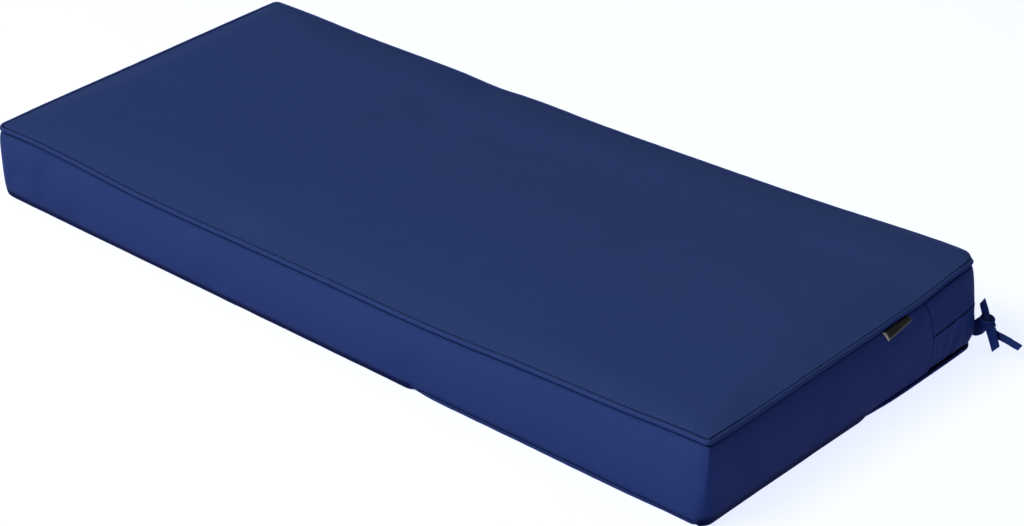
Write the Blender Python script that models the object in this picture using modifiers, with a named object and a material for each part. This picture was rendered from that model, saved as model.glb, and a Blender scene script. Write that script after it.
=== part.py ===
"""Bench cushion: a filled box cushion with corded seams, a flapped slit at the back and knotted ties.

Metres, +Z up. The origin is the middle of the underside, where the cushion rests. +X runs along the
cushion towards the end that carries the label, and +Y runs across it towards the slit at the back.
"""
import math

import bmesh
import bpy
from mathutils import Vector

MM = 0.001

# Driving sizes
SEAM_LENGTH = 1.0463
SEAM_WIDTH = 0.4573
SEAM_HEIGHT = 0.0896
CORNER_RADIUS = 0.018
PIPING_RADIUS = 0.0026
GAP = 0.0003
CROWN = 0.005
CROWN_ACROSS, CROWN_ALONG = 2.5, 6
SHOULDER = 0.0016
SHOULDER_REACH = 0.014
CLOTH = 0.0012

BOTTOM_SEAM_Z = PIPING_RADIUS + GAP
TOP_SEAM_Z = BOTTOM_SEAM_Z + SEAM_HEIGHT
HALF = {"x": SEAM_LENGTH / 2, "y": SEAM_WIDTH / 2}

# Sides in order round the cushion, seen from above and against the clock:
# the axis each runs along, its direction, and the way out from the cushion.
SIDES = {
    "front": {"along": Vector((1, 0, 0)), "out": Vector((0, -1, 0)), "half": HALF["x"], "depth": HALF["y"]},
    "end": {"along": Vector((0, 1, 0)), "out": Vector((1, 0, 0)), "half": HALF["y"], "depth": HALF["x"]},
    "rear": {"along": Vector((-1, 0, 0)), "out": Vector((0, 1, 0)), "half": HALF["x"], "depth": HALF["y"]},
    "left": {"along": Vector((0, -1, 0)), "out": Vector((-1, 0, 0)), "half": HALF["y"], "depth": HALF["x"]},
}

# How the seams wander, in millimetres. "place" runs from -1 to 1 along a side. "rise" lifts the top
# seam, "out" bows it outwards, "bulge" swells the boxing, and "under" tucks the bottom seam in
# below the boxing, which then rolls down over the piping.
STATIONS = [
    # side, place, rise, out, bulge, under
    ("front", -1.00, -6.8, 0.0, 3.2, 5.0),
    ("front", -0.88, -4.4, 0.6, 4.6, 6.0),
    ("front", -0.75, -5.7, 1.0, 4.6, 6.0),
    ("front", -0.50, -10.2, 2.0, 4.5, 6.0),
    ("front", 0.00, -8.3, 2.8, 5.0, 5.2),
    ("front", 0.15, -8.6, 2.8, 5.0, 4.8),
    ("front", 0.24, -8.7, 2.8, 5.0, 3.4),
    ("front", 0.32, -8.3, 2.7, 4.9, 0.4),
    ("front", 0.42, -6.9, 2.4, 4.7, -0.8),
    ("front", 0.56, -3.6, 2.0, 4.5, -0.6),
    ("front", 0.80, -0.2, 1.2, 4.0, -0.4),
    ("front", 0.92, 2.8, 0.5, 4.0, 2.2),
    ("end", -1.00, 4.2, 0.0, 4.0, 3.6),
    ("end", -0.72, 2.3, -0.6, 4.0, 5.0),
    ("end", -0.30, 3.1, -1.2, 4.0, 4.8),
    ("end", 0.00, 3.6, -1.2, 4.3, 3.6),
    ("end", 0.20, 4.0, -1.2, 4.6, 0.6),
    ("end", 0.34, 4.5, -1.1, 5.1, -0.5),
    ("end", 0.50, 5.3, -1.0, 5.5, -0.6),
    ("end", 0.75, 10.8, -0.6, 5.0, -0.6),
    ("end", 0.90, 12.2, -0.8, 4.6, -0.3),
    ("rear", -1.00, 10.8, -4.8, 4.2, 0.0),
    ("rear", -0.955, 10.7, -0.8, 4.6, 0.0),
    ("rear", -0.85, 9.4, 0.0, 5.0, 0.0),
    ("rear", -0.60, 4.0, 0.0, 5.0, 2.0),
    ("rear", -0.25, 0.5, 0.0, 5.0, 3.0),
    ("rear", -0.10, -0.6, 0.0, 5.0, 3.0),
    ("rear", 0.02, -0.8, 0.0, 5.0, 3.0),
    ("rear", 0.12, 0.0, 0.0, 5.0, 3.0),
    ("rear", 0.20, -0.5, 0.0, 5.0, 3.0),
    ("rear", 0.28, -1.9, 0.0, 5.0, 3.0),
    ("rear", 0.40, 0.8, 0.0, 5.0, 3.0),
    ("rear", 0.70, 1.4, 0.0, 5.0, 3.0),
    ("rear", 0.88, 3.9, 0.0, 4.8, 3.0),
    ("left", -1.00, 3.9, 0.0, 4.5, 3.0),
    ("left", -0.50, 1.6, 0.0, 4.5, 4.0),
    ("left", 0.10, -1.7, 0.0, 4.5, 4.0),
    ("left", 0.70, -4.6, 0.0, 3.6, 4.0),
]
RISE, OUT, BULGE, UNDER = 2, 3, 4, 5

# The corners in order round the cushion, from the front left one, in millimetres: how far the top and
# the bottom seam stand from a true rectangle there, how tightly each turns, and how far the swelling
# of the boxing keeps the corner square (0 to 1).
CORNERS = [
    # x sign, y sign, top x, top y, top radius, bottom x, bottom y, bottom radius, mitre
    (-1, -1, 3.0, 1.0, 12.0, 1.1, 1.5, 18.0, 0.0),
    (1, -1, 0.0, -1.0, 5.0, -2.8, -2.4, 9.0, 1.0),
    (1, 1, 0.5, 2.5, 18.0, 1.2, 0.8, 18.0, 0.0),
    (-1, 1, -3.0, -2.5, 6.0, 0.0, 0.0, 12.0, 0.0),
]
AT_TOP, AT_BOTTOM, MITRE = 2, 5, 8
CORNER_EASE = 0.045

# The channel in which the piping lies, and the angles round the piping at which the cloth leaves it,
# from straight out. A tuck turns the boxing's lip under the bottom piping.
CHANNEL_RADIUS = PIPING_RADIUS + 1.5 * GAP
CHANNEL_STEPS = 7
TOP_LIP = math.radians(-95)
TOP_PANEL_LIP = math.radians(-210)
BOTTOM_LIP = math.radians(56)
BOTTOM_PANEL_LIP = math.radians(236)
TUCK_TURN = math.radians(8)

# Rows of the boxing between its two lips. Over a tucked seam the boxing comes back out and dips,
# but never below REST_GAP, and it is drawn in beside the top piping.
BOXING_ROWS = (0.012, 0.035, 0.08, 0.17, 0.33, 0.55, 0.78, 0.94)
BULGE_LOW, BULGE_ROUND = 0.8, 2.2
GROOVE_DEPTH, GROOVE_REACH = 0.0015, 0.0025
TUCK_POWER = 22
ROLL_DIP = 1.05
FULL_TUCK = 0.005
ROLL_HEIGHT = 0.035
REST_GAP = 0.0003

# Spans between samples on the straight stretches of a long and of a short side
LONG_SPANS = 32
SHORT_SPANS = 14

PIPING_JOIN = 0.015
REAR_JOIN = 0.10

# The flapped slit: its upright seam crosses the right-hand end at FOOT and leans by LEAN at the top
SLIT_SEAM_FOOT = 0.1412
SLIT_SEAM_LEAN = 0.0186
SLIT_SEAM_BEND = 2.7
SEAM_CLEAR = 0.0046
SLIT_HEIGHT = 0.493
SLIT_LIFT = 0.045
SLIT_OPEN = 0.012
STRIP_FOOT = 0.035
STRIP_HEAD = 0.99
FLAP_LIFT = 0.0008

LABEL_LENGTH = 0.0436
LABEL_WIDTH = 0.0095
LABEL_THICKNESS = 0.0014
LABEL_EDGE = 0.0004
LABEL_MIDDLE_Y = 0.0703
LABEL_ROOT_OUT = 0.0034
LABEL_DROOP = math.radians(30)

TIE_THICKNESS = 0.0016
KNOT_CENTRE = Vector((0.5400, 0.2280, 0.0333))
KNOT_RADII = Vector((0.0074, 0.0052, 0.0105))
KNOT_LEAN = math.radians(-20)
WRAP_DEPTH, WRAP_LOBES, WRAP_TWIST = 0.08, 3, 4


def corner_at(side, place):
    """The corner towards which a place on a side lies."""
    return CORNERS[(list(SIDES).index(side) + (place > 0)) % len(CORNERS)]


def plan_point(side, place, level):
    """The seam's true-rectangle point and outward direction, with the corner rounded off."""
    row = SIDES[side]
    radius = corner_at(side, place)[level + 2] * MM
    past = abs(place) * row["half"] - (row["half"] - CORNER_RADIUS)
    turn = max(0.0, past / CORNER_RADIUS) * math.pi / 4
    ease = min(1.0, max(0.0, 1 + past / CORNER_EASE)) ** 2
    along = row["half"] - CORNER_RADIUS + min(past, 0.0) + (CORNER_RADIUS - radius) * ease
    along += radius * math.sin(turn)
    depth = row["depth"] - radius * (1 - math.cos(turn))
    sign = 1 if place >= 0 else -1
    outward = row["along"] * sign * math.sin(turn) + row["out"] * math.cos(turn)
    return row["along"] * sign * along + row["out"] * depth, outward


def spread(side, place):
    """The way in which the boxing swells: straight out, or kept square at a mitred corner."""
    row = SIDES[side]
    share = max(0.0, (abs(place) * row["half"] - row["half"] + CORNER_RADIUS) / CORNER_RADIUS)
    along = row["along"] * (1 if place >= 0 else -1)
    turn = share * math.pi / 4
    rounded = along * math.sin(turn) + row["out"] * math.cos(turn)
    return rounded.lerp(row["out"] + along * share, corner_at(side, place)[MITRE])


def distance_round(side, place):
    """Distance along the sharp rectangle from the front left corner."""
    start = 0.0
    for name, row in SIDES.items():
        if name == side:
            return start + (place + 1) * row["half"]
        start += 2 * row["half"]
    raise ValueError(side)


PERIMETER = 2 * (SEAM_LENGTH + SEAM_WIDTH)
STATION_DISTANCES = [distance_round(row[0], row[1]) for row in STATIONS]


def wander(side, place, column):
    """One column of STATIONS at a place, as a smooth closed curve round the cushion."""
    here = distance_round(side, place) % PERIMETER
    count = len(STATIONS)
    index = max(i for i in range(count) if STATION_DISTANCES[i] <= here + 1e-9)

    def knot(step):
        turns, wrapped = divmod(index + step, count)
        return STATION_DISTANCES[wrapped] + turns * PERIMETER, STATIONS[wrapped][column]

    (s0, v0), (s1, v1), (s2, v2), (s3, v3) = (knot(step) for step in (-1, 0, 1, 2))
    t = (here - s1) / (s2 - s1)
    slope_1 = (v2 - v0) / (s2 - s0) * (s2 - s1)
    slope_2 = (v3 - v1) / (s3 - s1) * (s2 - s1)
    h = 2 * t**3 - 3 * t**2 + 1
    value = h * v1 + (1 - h) * v2
    value += (t**3 - 2 * t**2 + t) * slope_1 + (t**3 - t**2) * slope_2
    return value * MM


def corner_shift(point, level):
    """The plan shift of a seam at a point, blended from its four corners."""
    total = Vector((0, 0, 0))
    for row in CORNERS:
        weight = (1 + row[0] * point.x / HALF["x"]) * (1 + row[1] * point.y / HALF["y"]) / 4
        total += Vector((row[level], row[level + 1], 0)) * weight * MM
    return total


def top_seam(side, place):
    """Centre of the top piping and the outward direction there."""
    point, outward = plan_point(side, place, AT_TOP)
    seam = point + outward * wander(side, place, OUT) + corner_shift(point, AT_TOP)
    seam.z = TOP_SEAM_Z + wander(side, place, RISE)
    return seam, outward


def bottom_seam(side, place):
    """Centre of the bottom piping and the outward direction there."""
    point, outward = plan_point(side, place, AT_BOTTOM)
    seam = point - outward * wander(side, place, UNDER) + corner_shift(point, AT_BOTTOM)
    seam.z = BOTTOM_SEAM_Z
    return seam, outward


def round_seam(seam, outward, angle, radius=CHANNEL_RADIUS):
    return seam + outward * math.cos(angle) * radius + Vector((0, 0, 1)) * math.sin(angle) * radius


def bottom_lip_angle(side, place):
    return BOTTOM_LIP - TUCK_TURN * wander(side, place, UNDER) / MM


def boxing_point(side, place, height, proud=0.0):
    """A point on the boxing, from height 0 at the bottom lip to 1 at the top lip."""
    low_seam, outward = bottom_seam(side, place)
    high_seam, _ = top_seam(side, place)
    tuck = wander(side, place, UNDER)
    low = round_seam(low_seam, outward, bottom_lip_angle(side, place)) + outward * tuck
    high = round_seam(high_seam, outward, TOP_LIP)
    point = low.lerp(high, height)
    bulge = 1 - abs(2 * height**BULGE_LOW - 1) ** BULGE_ROUND
    groove = 1 - math.exp(-(1 - height) * SEAM_HEIGHT / GROOVE_REACH)
    swell = wander(side, place, BULGE) * bulge + GROOVE_DEPTH * height * groove
    point += spread(side, place) * (swell + proud)
    point -= outward * tuck * (1 - height) ** TUCK_POWER
    dip = ROLL_DIP * math.sqrt(max(0.0, tuck) * FULL_TUCK)
    point.z -= dip * height / ROLL_HEIGHT * math.exp(1 - height / ROLL_HEIGHT)
    point.z = max(point.z, REST_GAP)
    return point


def side_places(side):
    """Places along a side where the skin is sampled, its two half corners included."""
    half = SIDES[side]["half"]
    spans = LONG_SPANS if half == HALF["x"] else SHORT_SPANS
    straight = (half - CORNER_RADIUS) / half
    middle = (half - CORNER_RADIUS / 2) / half
    inner = [straight * (2 * i / spans - 1) for i in range(spans + 1)]
    return [-1.0, -middle] + inner + [middle, 1.0]


def ring_places():
    """Every sample once, in order round the cushion."""
    return [(side, place) for side in SIDES for place in side_places(side)[:-1]]


def arc(start, end, steps):
    return [start + (end - start) * i / steps for i in range(steps + 1)]


def section(side, place):
    """The skin's section at a place, from the bottom panel's lip up to the top panel's lip."""
    low_seam, outward = bottom_seam(side, place)
    high_seam, _ = top_seam(side, place)
    low_arc = arc(BOTTOM_PANEL_LIP, bottom_lip_angle(side, place), CHANNEL_STEPS)
    low = [round_seam(low_seam, outward, angle) for angle in low_arc]
    boxing = [boxing_point(side, place, height) for height in BOXING_ROWS]
    high_arc = arc(TOP_LIP, TOP_PANEL_LIP, CHANNEL_STEPS)
    return low + boxing + [round_seam(high_seam, outward, angle) for angle in high_arc]


def crown_height(x, y):
    """How far the top panel stands above a sheet stretched over its edge."""
    across = min(1.0, abs(y) / HALF["y"])
    along = min(1.0, abs(x) / HALF["x"])
    edge = max(0.0, min(HALF["y"] - abs(y), HALF["x"] - abs(x)) - PIPING_RADIUS)
    crown = CROWN * (1 - across**CROWN_ACROSS) * (1 - along**CROWN_ALONG)
    return crown + SHOULDER * (1 - math.exp(-edge / SHOULDER_REACH))


def top_grid(edges):
    """Rows of points stretched between the four edges, front to rear, with the crown added."""
    xs = [(place + 1) / 2 for place in side_places("front")]
    ys = [(place + 1) / 2 for place in side_places("end")]
    front, end = edges["front"], edges["end"]
    rear, left = edges["rear"][::-1], edges["left"][::-1]
    rows = []
    for j, v in enumerate(ys):
        row = []
        for i, u in enumerate(xs):
            point = front[i] * (1 - v) + rear[i] * v + left[j] * (1 - u) + end[j] * u
            point -= (front[0] * (1 - u) + front[-1] * u) * (1 - v)
            point -= (rear[0] * (1 - u) + rear[-1] * u) * v
            if 0 < i < len(xs) - 1 and 0 < j < len(ys) - 1:
                point.z += crown_height(point.x, point.y)
            row.append(point)
        rows.append(row)
    return rows


def material(name, colour, roughness, metallic=0.0):
    made = bpy.data.materials.new(name)
    made.use_nodes = True
    shader = made.node_tree.nodes["Principled BSDF"]
    shader.inputs["Base Color"].default_value = (*colour, 1.0)
    shader.inputs["Roughness"].default_value = roughness
    shader.inputs["Metallic"].default_value = metallic
    return made


def new_object(collection, name, data, finish):
    made = bpy.data.objects.new(name, data)
    data.materials.append(finish)
    collection.objects.link(made)
    return made


def mesh_object(collection, name, bm, finish):
    """Turns a bmesh into a smooth shaded object."""
    bmesh.ops.remove_doubles(bm, verts=bm.verts, dist=1e-6)
    bmesh.ops.recalc_face_normals(bm, faces=bm.faces)
    mesh = bpy.data.meshes.new(name)
    bm.to_mesh(mesh)
    bm.free()
    mesh.shade_smooth()
    return new_object(collection, name, mesh, finish)


def skin_between(bm, lower, upper, closed):
    count = len(lower)
    for i in range(count if closed else count - 1):
        j = (i + 1) % count
        bm.faces.new((lower[i], lower[j], upper[j], upper[i]))


def make_cushion(collection, finish):
    """The filled body: bottom panel, piping channels, boxing and crowned top panel in one skin."""
    bm = bmesh.new()
    columns = [section(side, place) for side, place in ring_places()]
    rings = [[bm.verts.new(column[level]) for column in columns] for level in range(len(columns[0]))]
    for lower, upper in zip(rings, rings[1:]):
        skin_between(bm, lower, upper, closed=True)
    edges = {}
    start = 0
    for side in SIDES:
        spans = len(side_places(side)) - 1
        ring = rings[-1]
        edges[side] = [ring[(start + i) % len(ring)].co.copy() for i in range(spans + 1)]
        start += spans
    grid = [[bm.verts.new(point) for point in row] for row in top_grid(edges)]
    for front_row, rear_row in zip(grid, grid[1:]):
        skin_between(bm, front_row, rear_row, closed=False)
    flat_ring = []
    for vert, (side, place) in zip(rings[0], ring_places()):
        _, outward = plan_point(side, place, AT_BOTTOM)
        inset = vert.co - outward * SHOULDER_REACH
        flat_ring.append(bm.verts.new((inset.x, inset.y, 0.0)))
    skin_between(bm, flat_ring, rings[0], closed=True)
    bm.faces.new(flat_ring[::-1])
    return mesh_object(collection, "cushion", bm, finish)


def make_tube(collection, name, points, radius, finish):
    """An open run of cord with filled ends."""
    curve = bpy.data.curves.new(name, "CURVE")
    curve.dimensions = "3D"
    curve.bevel_depth = radius
    curve.bevel_resolution = 2
    curve.resolution_u = 1
    curve.render_resolution_u = 0
    curve.use_fill_caps = True
    spline = curve.splines.new("POLY")
    spline.points.add(len(points) - 1)
    for knot, point in zip(spline.points, points):
        knot.co = (*point, 1.0)
    return new_object(collection, name, curve, finish)


def cord_route(seam, side, join):
    """Round the whole seam from just past the join to just before it."""
    join_distance = distance_round(side, join / SIDES[side]["half"])
    stops = [(distance_round(name, place), name, place) for name, place in ring_places()]
    after = [stop for stop in stops if stop[0] > join_distance + CORNER_RADIUS]
    before = [stop for stop in stops if stop[0] < join_distance - CORNER_RADIUS]
    half_gap = GAP / SIDES[side]["half"] / 2
    ends = [(side, join / SIDES[side]["half"] + sign * half_gap) for sign in (1, -1)]
    places = ends[:1] + [stop[1:] for stop in after + before] + ends[1:]
    return [seam(*place)[0] for place in places]


def make_piping(collection, finish):
    make_tube(collection, "piping_top", cord_route(top_seam, "front", PIPING_JOIN), PIPING_RADIUS, finish)
    make_tube(collection, "piping_bottom", cord_route(bottom_seam, "rear", REAR_JOIN), PIPING_RADIUS, finish)


def slit_seam_y(height):
    """Where the upright seam crosses either end, at a height on the boxing."""
    return SLIT_SEAM_FOOT - SLIT_SEAM_LEAN * height**SLIT_SEAM_BEND


def slit_runs(height):
    """Places that a slit strip passes: part of the right-hand end, the rear, and part of the left end."""
    start = slit_seam_y(height) / HALF["y"]
    clear = (SLIT_SEAM_FOOT + SEAM_CLEAR) / HALF["y"]
    right = [place for place in side_places("end") if place > clear]
    left = [place for place in side_places("left") if place < -clear]
    run = [("end", start)] + [("end", place) for place in right[:-1]]
    run += [("rear", place) for place in side_places("rear")[:-1]]
    return run + [("left", place) for place in left] + [("left", -start)]


def slit_lift(side, place, height):
    """How far a row of a strip climbs, as the slit rises to the rear corner and stays up behind."""
    start = slit_seam_y(1.0) / HALF["y"]
    climb = (place - start) / (1 - start) if side == "end" else 1.0
    share = height / SLIT_HEIGHT if height < SLIT_HEIGHT else (1 - height) / (1 - SLIT_HEIGHT)
    return SLIT_LIFT * max(0.0, climb) ** 2 * share


def strip_row(height, proud):
    """Points of one row of a strip, all the way along the slit."""
    return [
        boxing_point(side, place, height + slit_lift(side, place, height), proud)
        for side, place in slit_runs(height)
    ]


def make_strip(collection, name, low, high, proud, finish):
    """A strip of cloth laid over the boxing between two heights."""
    bm = bmesh.new()
    heights = [low] + [height for height in BOXING_ROWS if low < height < high] + [high]
    rows = [[bm.verts.new(point) for point in strip_row(height, proud)] for height in heights]
    for lower, upper in zip(rows, rows[1:]):
        skin_between(bm, lower, upper, closed=False)
    strip = mesh_object(collection, name, bm, finish)
    wall = strip.modifiers.new("cloth", "SOLIDIFY")
    wall.thickness = CLOTH
    wall.offset = 1.0
    return strip


def make_zip_boxing(collection, finish):
    slit_low = SLIT_HEIGHT - SLIT_OPEN / 2
    slit_high = SLIT_HEIGHT + SLIT_OPEN / 2
    base = 2 * GAP
    make_strip(collection, "zip_boxing", STRIP_FOOT, slit_low, base, finish)
    make_strip(collection, "zip_flap", slit_high, STRIP_HEAD, base + FLAP_LIFT, finish)


def make_label(collection, finish):
    """A folded tab hanging out from under the top piping, its fold at the outer edge."""
    seam, outward = top_seam("end", LABEL_MIDDLE_Y / HALF["y"])
    hang = outward * math.cos(LABEL_DROOP) - Vector((0, 0, 1)) * math.sin(LABEL_DROOP)
    root = seam + outward * LABEL_ROOT_OUT - Vector((0, 0, 1)) * (PIPING_RADIUS + LABEL_THICKNESS)
    bm = bmesh.new()
    bmesh.ops.create_cube(bm, size=1.0)
    bmesh.ops.scale(bm, vec=(LABEL_WIDTH, LABEL_LENGTH, LABEL_THICKNESS), verts=bm.verts)
    label = mesh_object(collection, "label_tab", bm, finish)
    label.rotation_euler = (0.0, LABEL_DROOP, 0.0)
    label.location = root + hang * LABEL_WIDTH / 2
    edge = label.modifiers.new("soft edges", "BEVEL")
    edge.width = LABEL_EDGE
    edge.segments = 2
    return label


def make_ribbon(collection, name, stops, finish):
    """A flat strap: each stop has its centre, the way its width lies, its width and a slant."""
    bm = bmesh.new()
    rings = []
    for index, (centre, across, width, slant) in enumerate(stops):
        before = stops[max(index - 1, 0)][0]
        after = stops[min(index + 1, len(stops) - 1)][0]
        ahead = (Vector(after) - Vector(before)).normalized()
        side = Vector(across)
        side = (side - ahead * side.dot(ahead)).normalized()
        face = ahead.cross(side)
        ring = []
        for edge, up in ((-1, -1), (1, -1), (1, 1), (-1, 1)):
            offset = side * edge * width / 2 + face * up * TIE_THICKNESS / 2 + ahead * edge * slant / 2
            ring.append(bm.verts.new(Vector(centre) + offset))
        rings.append(ring)
    for lower, upper in zip(rings, rings[1:]):
        skin_between(bm, lower, upper, closed=True)
    bm.faces.new(rings[0][::-1])
    bm.faces.new(rings[-1])
    return mesh_object(collection, name, bm, finish)


# Straps as (centre, way across, width, slant) from the root to the tip, in metres
TIE_BAND = [
    ((0.4990, 0.2385, 0.0150), (0.0, 0.1, 1.0), 0.0130, 0.0),
    ((0.5110, 0.2400, 0.0155), (0.0, 0.2, 1.0), 0.0145, 0.0),
    ((0.5209, 0.2358, 0.0155), (-0.1, 0.1, 1.0), 0.0158, 0.0),
    ((0.5270, 0.2332, 0.0212), (-0.28, 0.1, 1.0), 0.0165, 0.0),
    ((0.5312, 0.2308, 0.0262), (-0.38, 0.1, 1.0), 0.0150, 0.0),
]
TIE_END_UP = [
    ((0.5350, 0.2285, 0.0462), (1.0, 0.1, 0.4), 0.0090, 0.0),
    ((0.5332, 0.2283, 0.0508), (1.0, 0.1, 0.4), 0.0088, 0.0),
    ((0.5311, 0.2280, 0.0562), (1.0, 0.1, 0.4), 0.0080, 0.0062),
]
TIE_END_DOWN = [
    ((0.5486, 0.2235, 0.0255), (1.0, 0.0, -0.3), 0.0125, 0.0),
    ((0.5520, 0.2235, 0.0170), (1.0, 0.0, -0.2), 0.0120, 0.0),
    ((0.5553, 0.2235, 0.0086), (1.0, 0.0, 0.0), 0.0110, -0.0060),
]
TIE_END_SIDE = [
    ((0.5515, 0.2290, 0.0228), (0.4, 0.1, 1.0), 0.0088, 0.0),
    ((0.5600, 0.2290, 0.0218), (0.3, 0.1, 1.0), 0.0088, 0.0),
    ((0.5700, 0.2288, 0.0202), (0.2, 0.1, 1.0), 0.0088, 0.0),
    ((0.5808, 0.2285, 0.0182), (0.1, 0.1, 1.0), 0.0084, 0.0030),
]


def make_ties(collection, finish):
    make_ribbon(collection, "tie_band", TIE_BAND, finish)
    make_ribbon(collection, "tie_end_up", TIE_END_UP, finish)
    make_ribbon(collection, "tie_end_down", TIE_END_DOWN, finish)
    make_ribbon(collection, "tie_end_side", TIE_END_SIDE, finish)
    bm = bmesh.new()
    bmesh.ops.create_uvsphere(bm, u_segments=20, v_segments=12, radius=1.0)
    for vert in bm.verts:
        turn = WRAP_LOBES * math.atan2(vert.co.y, vert.co.x) + WRAP_TWIST * vert.co.z
        wraps = 1 + WRAP_DEPTH * math.sin(turn)
        vert.co = Vector((a * b for a, b in zip(vert.co * wraps, KNOT_RADII)))
    knot = mesh_object(collection, "tie_knot", bm, finish)
    knot.location = KNOT_CENTRE
    knot.rotation_euler = (0.0, KNOT_LEAN, 0.0)


def main():
    for old in list(bpy.data.objects):
        bpy.data.objects.remove(old, do_unlink=True)
    collection = bpy.data.collections.new("bench_cushion")
    bpy.context.scene.collection.children.link(collection)
    navy = material("navy cloth", (0.021, 0.040, 0.140), 0.6)
    navy_welt = material("navy welt cloth", (0.021, 0.040, 0.140), 0.6)
    navy_strap = material("navy strap", (0.016, 0.028, 0.115), 0.7)
    black = material("black label", (0.012, 0.012, 0.012), 0.5)
    make_cushion(collection, navy)
    make_piping(collection, navy_welt)
    make_zip_boxing(collection, navy)
    make_label(collection, black)
    make_ties(collection, navy_strap)


main()
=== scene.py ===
"""Bench cushion, dressed: padded cover, welted seams, flapped slit, bare tab and knotted ties.

Laid out as an add-on with one operator for each group of pieces. Run as a script, it makes the whole
scene. Metres, +Z up, +X towards the end with the tab, +Y towards the back.
"""

import math
from functools import lru_cache

import bmesh
import bpy
from bpy.props import FloatProperty, FloatVectorProperty, IntProperty, PointerProperty
from mathutils import Matrix, Vector, noise


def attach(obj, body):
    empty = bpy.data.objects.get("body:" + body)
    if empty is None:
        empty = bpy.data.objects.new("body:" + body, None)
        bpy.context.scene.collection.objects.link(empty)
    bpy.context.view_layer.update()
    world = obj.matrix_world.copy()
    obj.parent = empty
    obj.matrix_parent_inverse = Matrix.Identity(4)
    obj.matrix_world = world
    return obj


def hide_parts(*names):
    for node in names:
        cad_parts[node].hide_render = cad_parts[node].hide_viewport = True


bl_info = {
    "name": "Bench Cushion",
    "version": (1, 0, 0),
    "blender": (4, 5, 0),
    "location": "View3D > Sidebar > Cushion",
    "description": "Sews a piped box cushion with a flapped slit, a tab and knotted ties",
    "category": "Object",
}

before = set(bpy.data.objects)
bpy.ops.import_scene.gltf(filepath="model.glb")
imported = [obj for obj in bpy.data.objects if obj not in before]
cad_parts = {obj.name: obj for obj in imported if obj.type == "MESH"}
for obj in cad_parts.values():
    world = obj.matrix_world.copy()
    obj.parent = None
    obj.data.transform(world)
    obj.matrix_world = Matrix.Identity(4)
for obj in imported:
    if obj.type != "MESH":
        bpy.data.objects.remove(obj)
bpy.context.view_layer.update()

MM = 0.001
UP = Vector((0, 0, 1))
BODY = "root"
THREADS = "threads"
# Name of the vertex attribute that holds painted shade (on the tab, its pale edges)
SHADE = "groove_shade"

# How the seams wander, in millimetres. "place" runs from -1 to 1 along a side. "rise" lifts the top
# seam, "out" bows it outwards, "bulge" swells the boxing, and "under" tucks the bottom seam in
# below the boxing, which then rolls down over the piping.
STATIONS = [
    # side, place, rise, out, bulge, under
    ("front", -1.00, -6.8, 0.0, 2.4, 5.0),
    ("front", -0.88, -4.4, 0.6, 4.6, 6.0),
    ("front", -0.75, -5.7, 1.0, 4.6, 6.0),
    ("front", -0.50, -10.2, 2.0, 4.5, 6.0),
    ("front", 0.00, -8.3, 2.8, 5.0, 5.2),
    ("front", 0.15, -8.6, 2.8, 5.0, 4.8),
    ("front", 0.26, -8.7, 2.8, 5.0, 3.4),
    ("front", 0.33, -8.2, 2.7, 4.9, -0.4),
    ("front", 0.42, -6.9, 2.4, 4.7, -0.8),
    ("front", 0.56, -3.6, 2.0, 4.5, -0.6),
    ("front", 0.80, -0.2, 1.2, 4.0, -0.8),
    ("front", 0.92, 2.8, 0.5, 4.0, 0.8),
    ("front", 0.975, 3.8, 0.2, 4.0, 1.0),
    ("end", -1.00, 4.2, 0.0, 4.0, 3.6),
    ("end", -0.72, 2.3, -0.6, 4.0, 5.0),
    ("end", -0.30, 3.1, -1.2, 4.0, 4.8),
    ("end", 0.00, 3.6, -1.2, 4.3, 4.2),
    ("end", 0.20, 4.0, -1.2, 4.6, 0.6),
    ("end", 0.34, 4.5, -1.1, 5.1, -1.4),
    ("end", 0.50, 5.3, -1.0, 5.5, -1.6),
    ("end", 0.75, 10.8, -0.6, 5.0, -1.6),
    ("end", 0.90, 12.2, -0.8, 4.8, -0.9),
    ("rear", -1.00, 10.6, -5.8, 4.8, -0.2),
    ("rear", -0.955, 10.7, -1.2, 4.8, 0.0),
    ("rear", -0.85, 9.4, 0.0, 5.0, 0.0),
    ("rear", -0.60, 4.0, 0.0, 5.0, 2.0),
    ("rear", -0.25, 0.5, 0.0, 5.0, 3.0),
    ("rear", -0.10, -0.6, 0.0, 5.0, 3.0),
    ("rear", 0.02, -0.8, 0.0, 5.0, 3.0),
    ("rear", 0.12, 0.0, 0.0, 5.0, 3.0),
    ("rear", 0.20, -0.5, 0.0, 5.0, 3.0),
    ("rear", 0.28, -1.9, 0.0, 5.0, 3.0),
    ("rear", 0.40, 0.8, 0.0, 5.0, 3.0),
    ("rear", 0.70, 1.4, 0.0, 5.0, 3.0),
    ("rear", 0.88, 3.9, 0.0, 4.8, 3.0),
    ("left", -1.00, 3.9, 0.0, 4.5, 3.0),
    ("left", -0.50, 1.6, 0.0, 4.5, 4.0),
    ("left", 0.10, -1.7, 0.0, 4.5, 4.0),
    ("left", 0.70, -4.6, 0.0, 2.8, 4.0),
]
RISE, OUT, BULGE, UNDER = 2, 3, 4, 5

# The corners in order round the cushion, from the front left one, in millimetres: how far the top and
# the bottom seam stand from a true rectangle there, how tightly each turns, and how far the swelling
# of the boxing keeps the corner square (0 to 1).
CORNERS = [
    # x sign, y sign, top x, top y, top radius, bottom x, bottom y, bottom radius, mitre
    (-1, -1, 3.5, 1.0, 12.0, 1.1, 2.1, 18.0, 0.0),
    (1, -1, 0.0, -1.0, 3.0, -3.2, -2.2, 14.0, 1.0),
    (1, 1, 0.5, 2.5, 18.0, 0.5, 0.8, 18.0, 0.0),
    (-1, 1, -3.0, -2.5, 6.0, 0.0, 0.0, 12.0, 0.0),
]
AT_TOP, AT_BOTTOM, MITRE = 2, 5, 8
CORNER_EASE = 45 * MM

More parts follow.
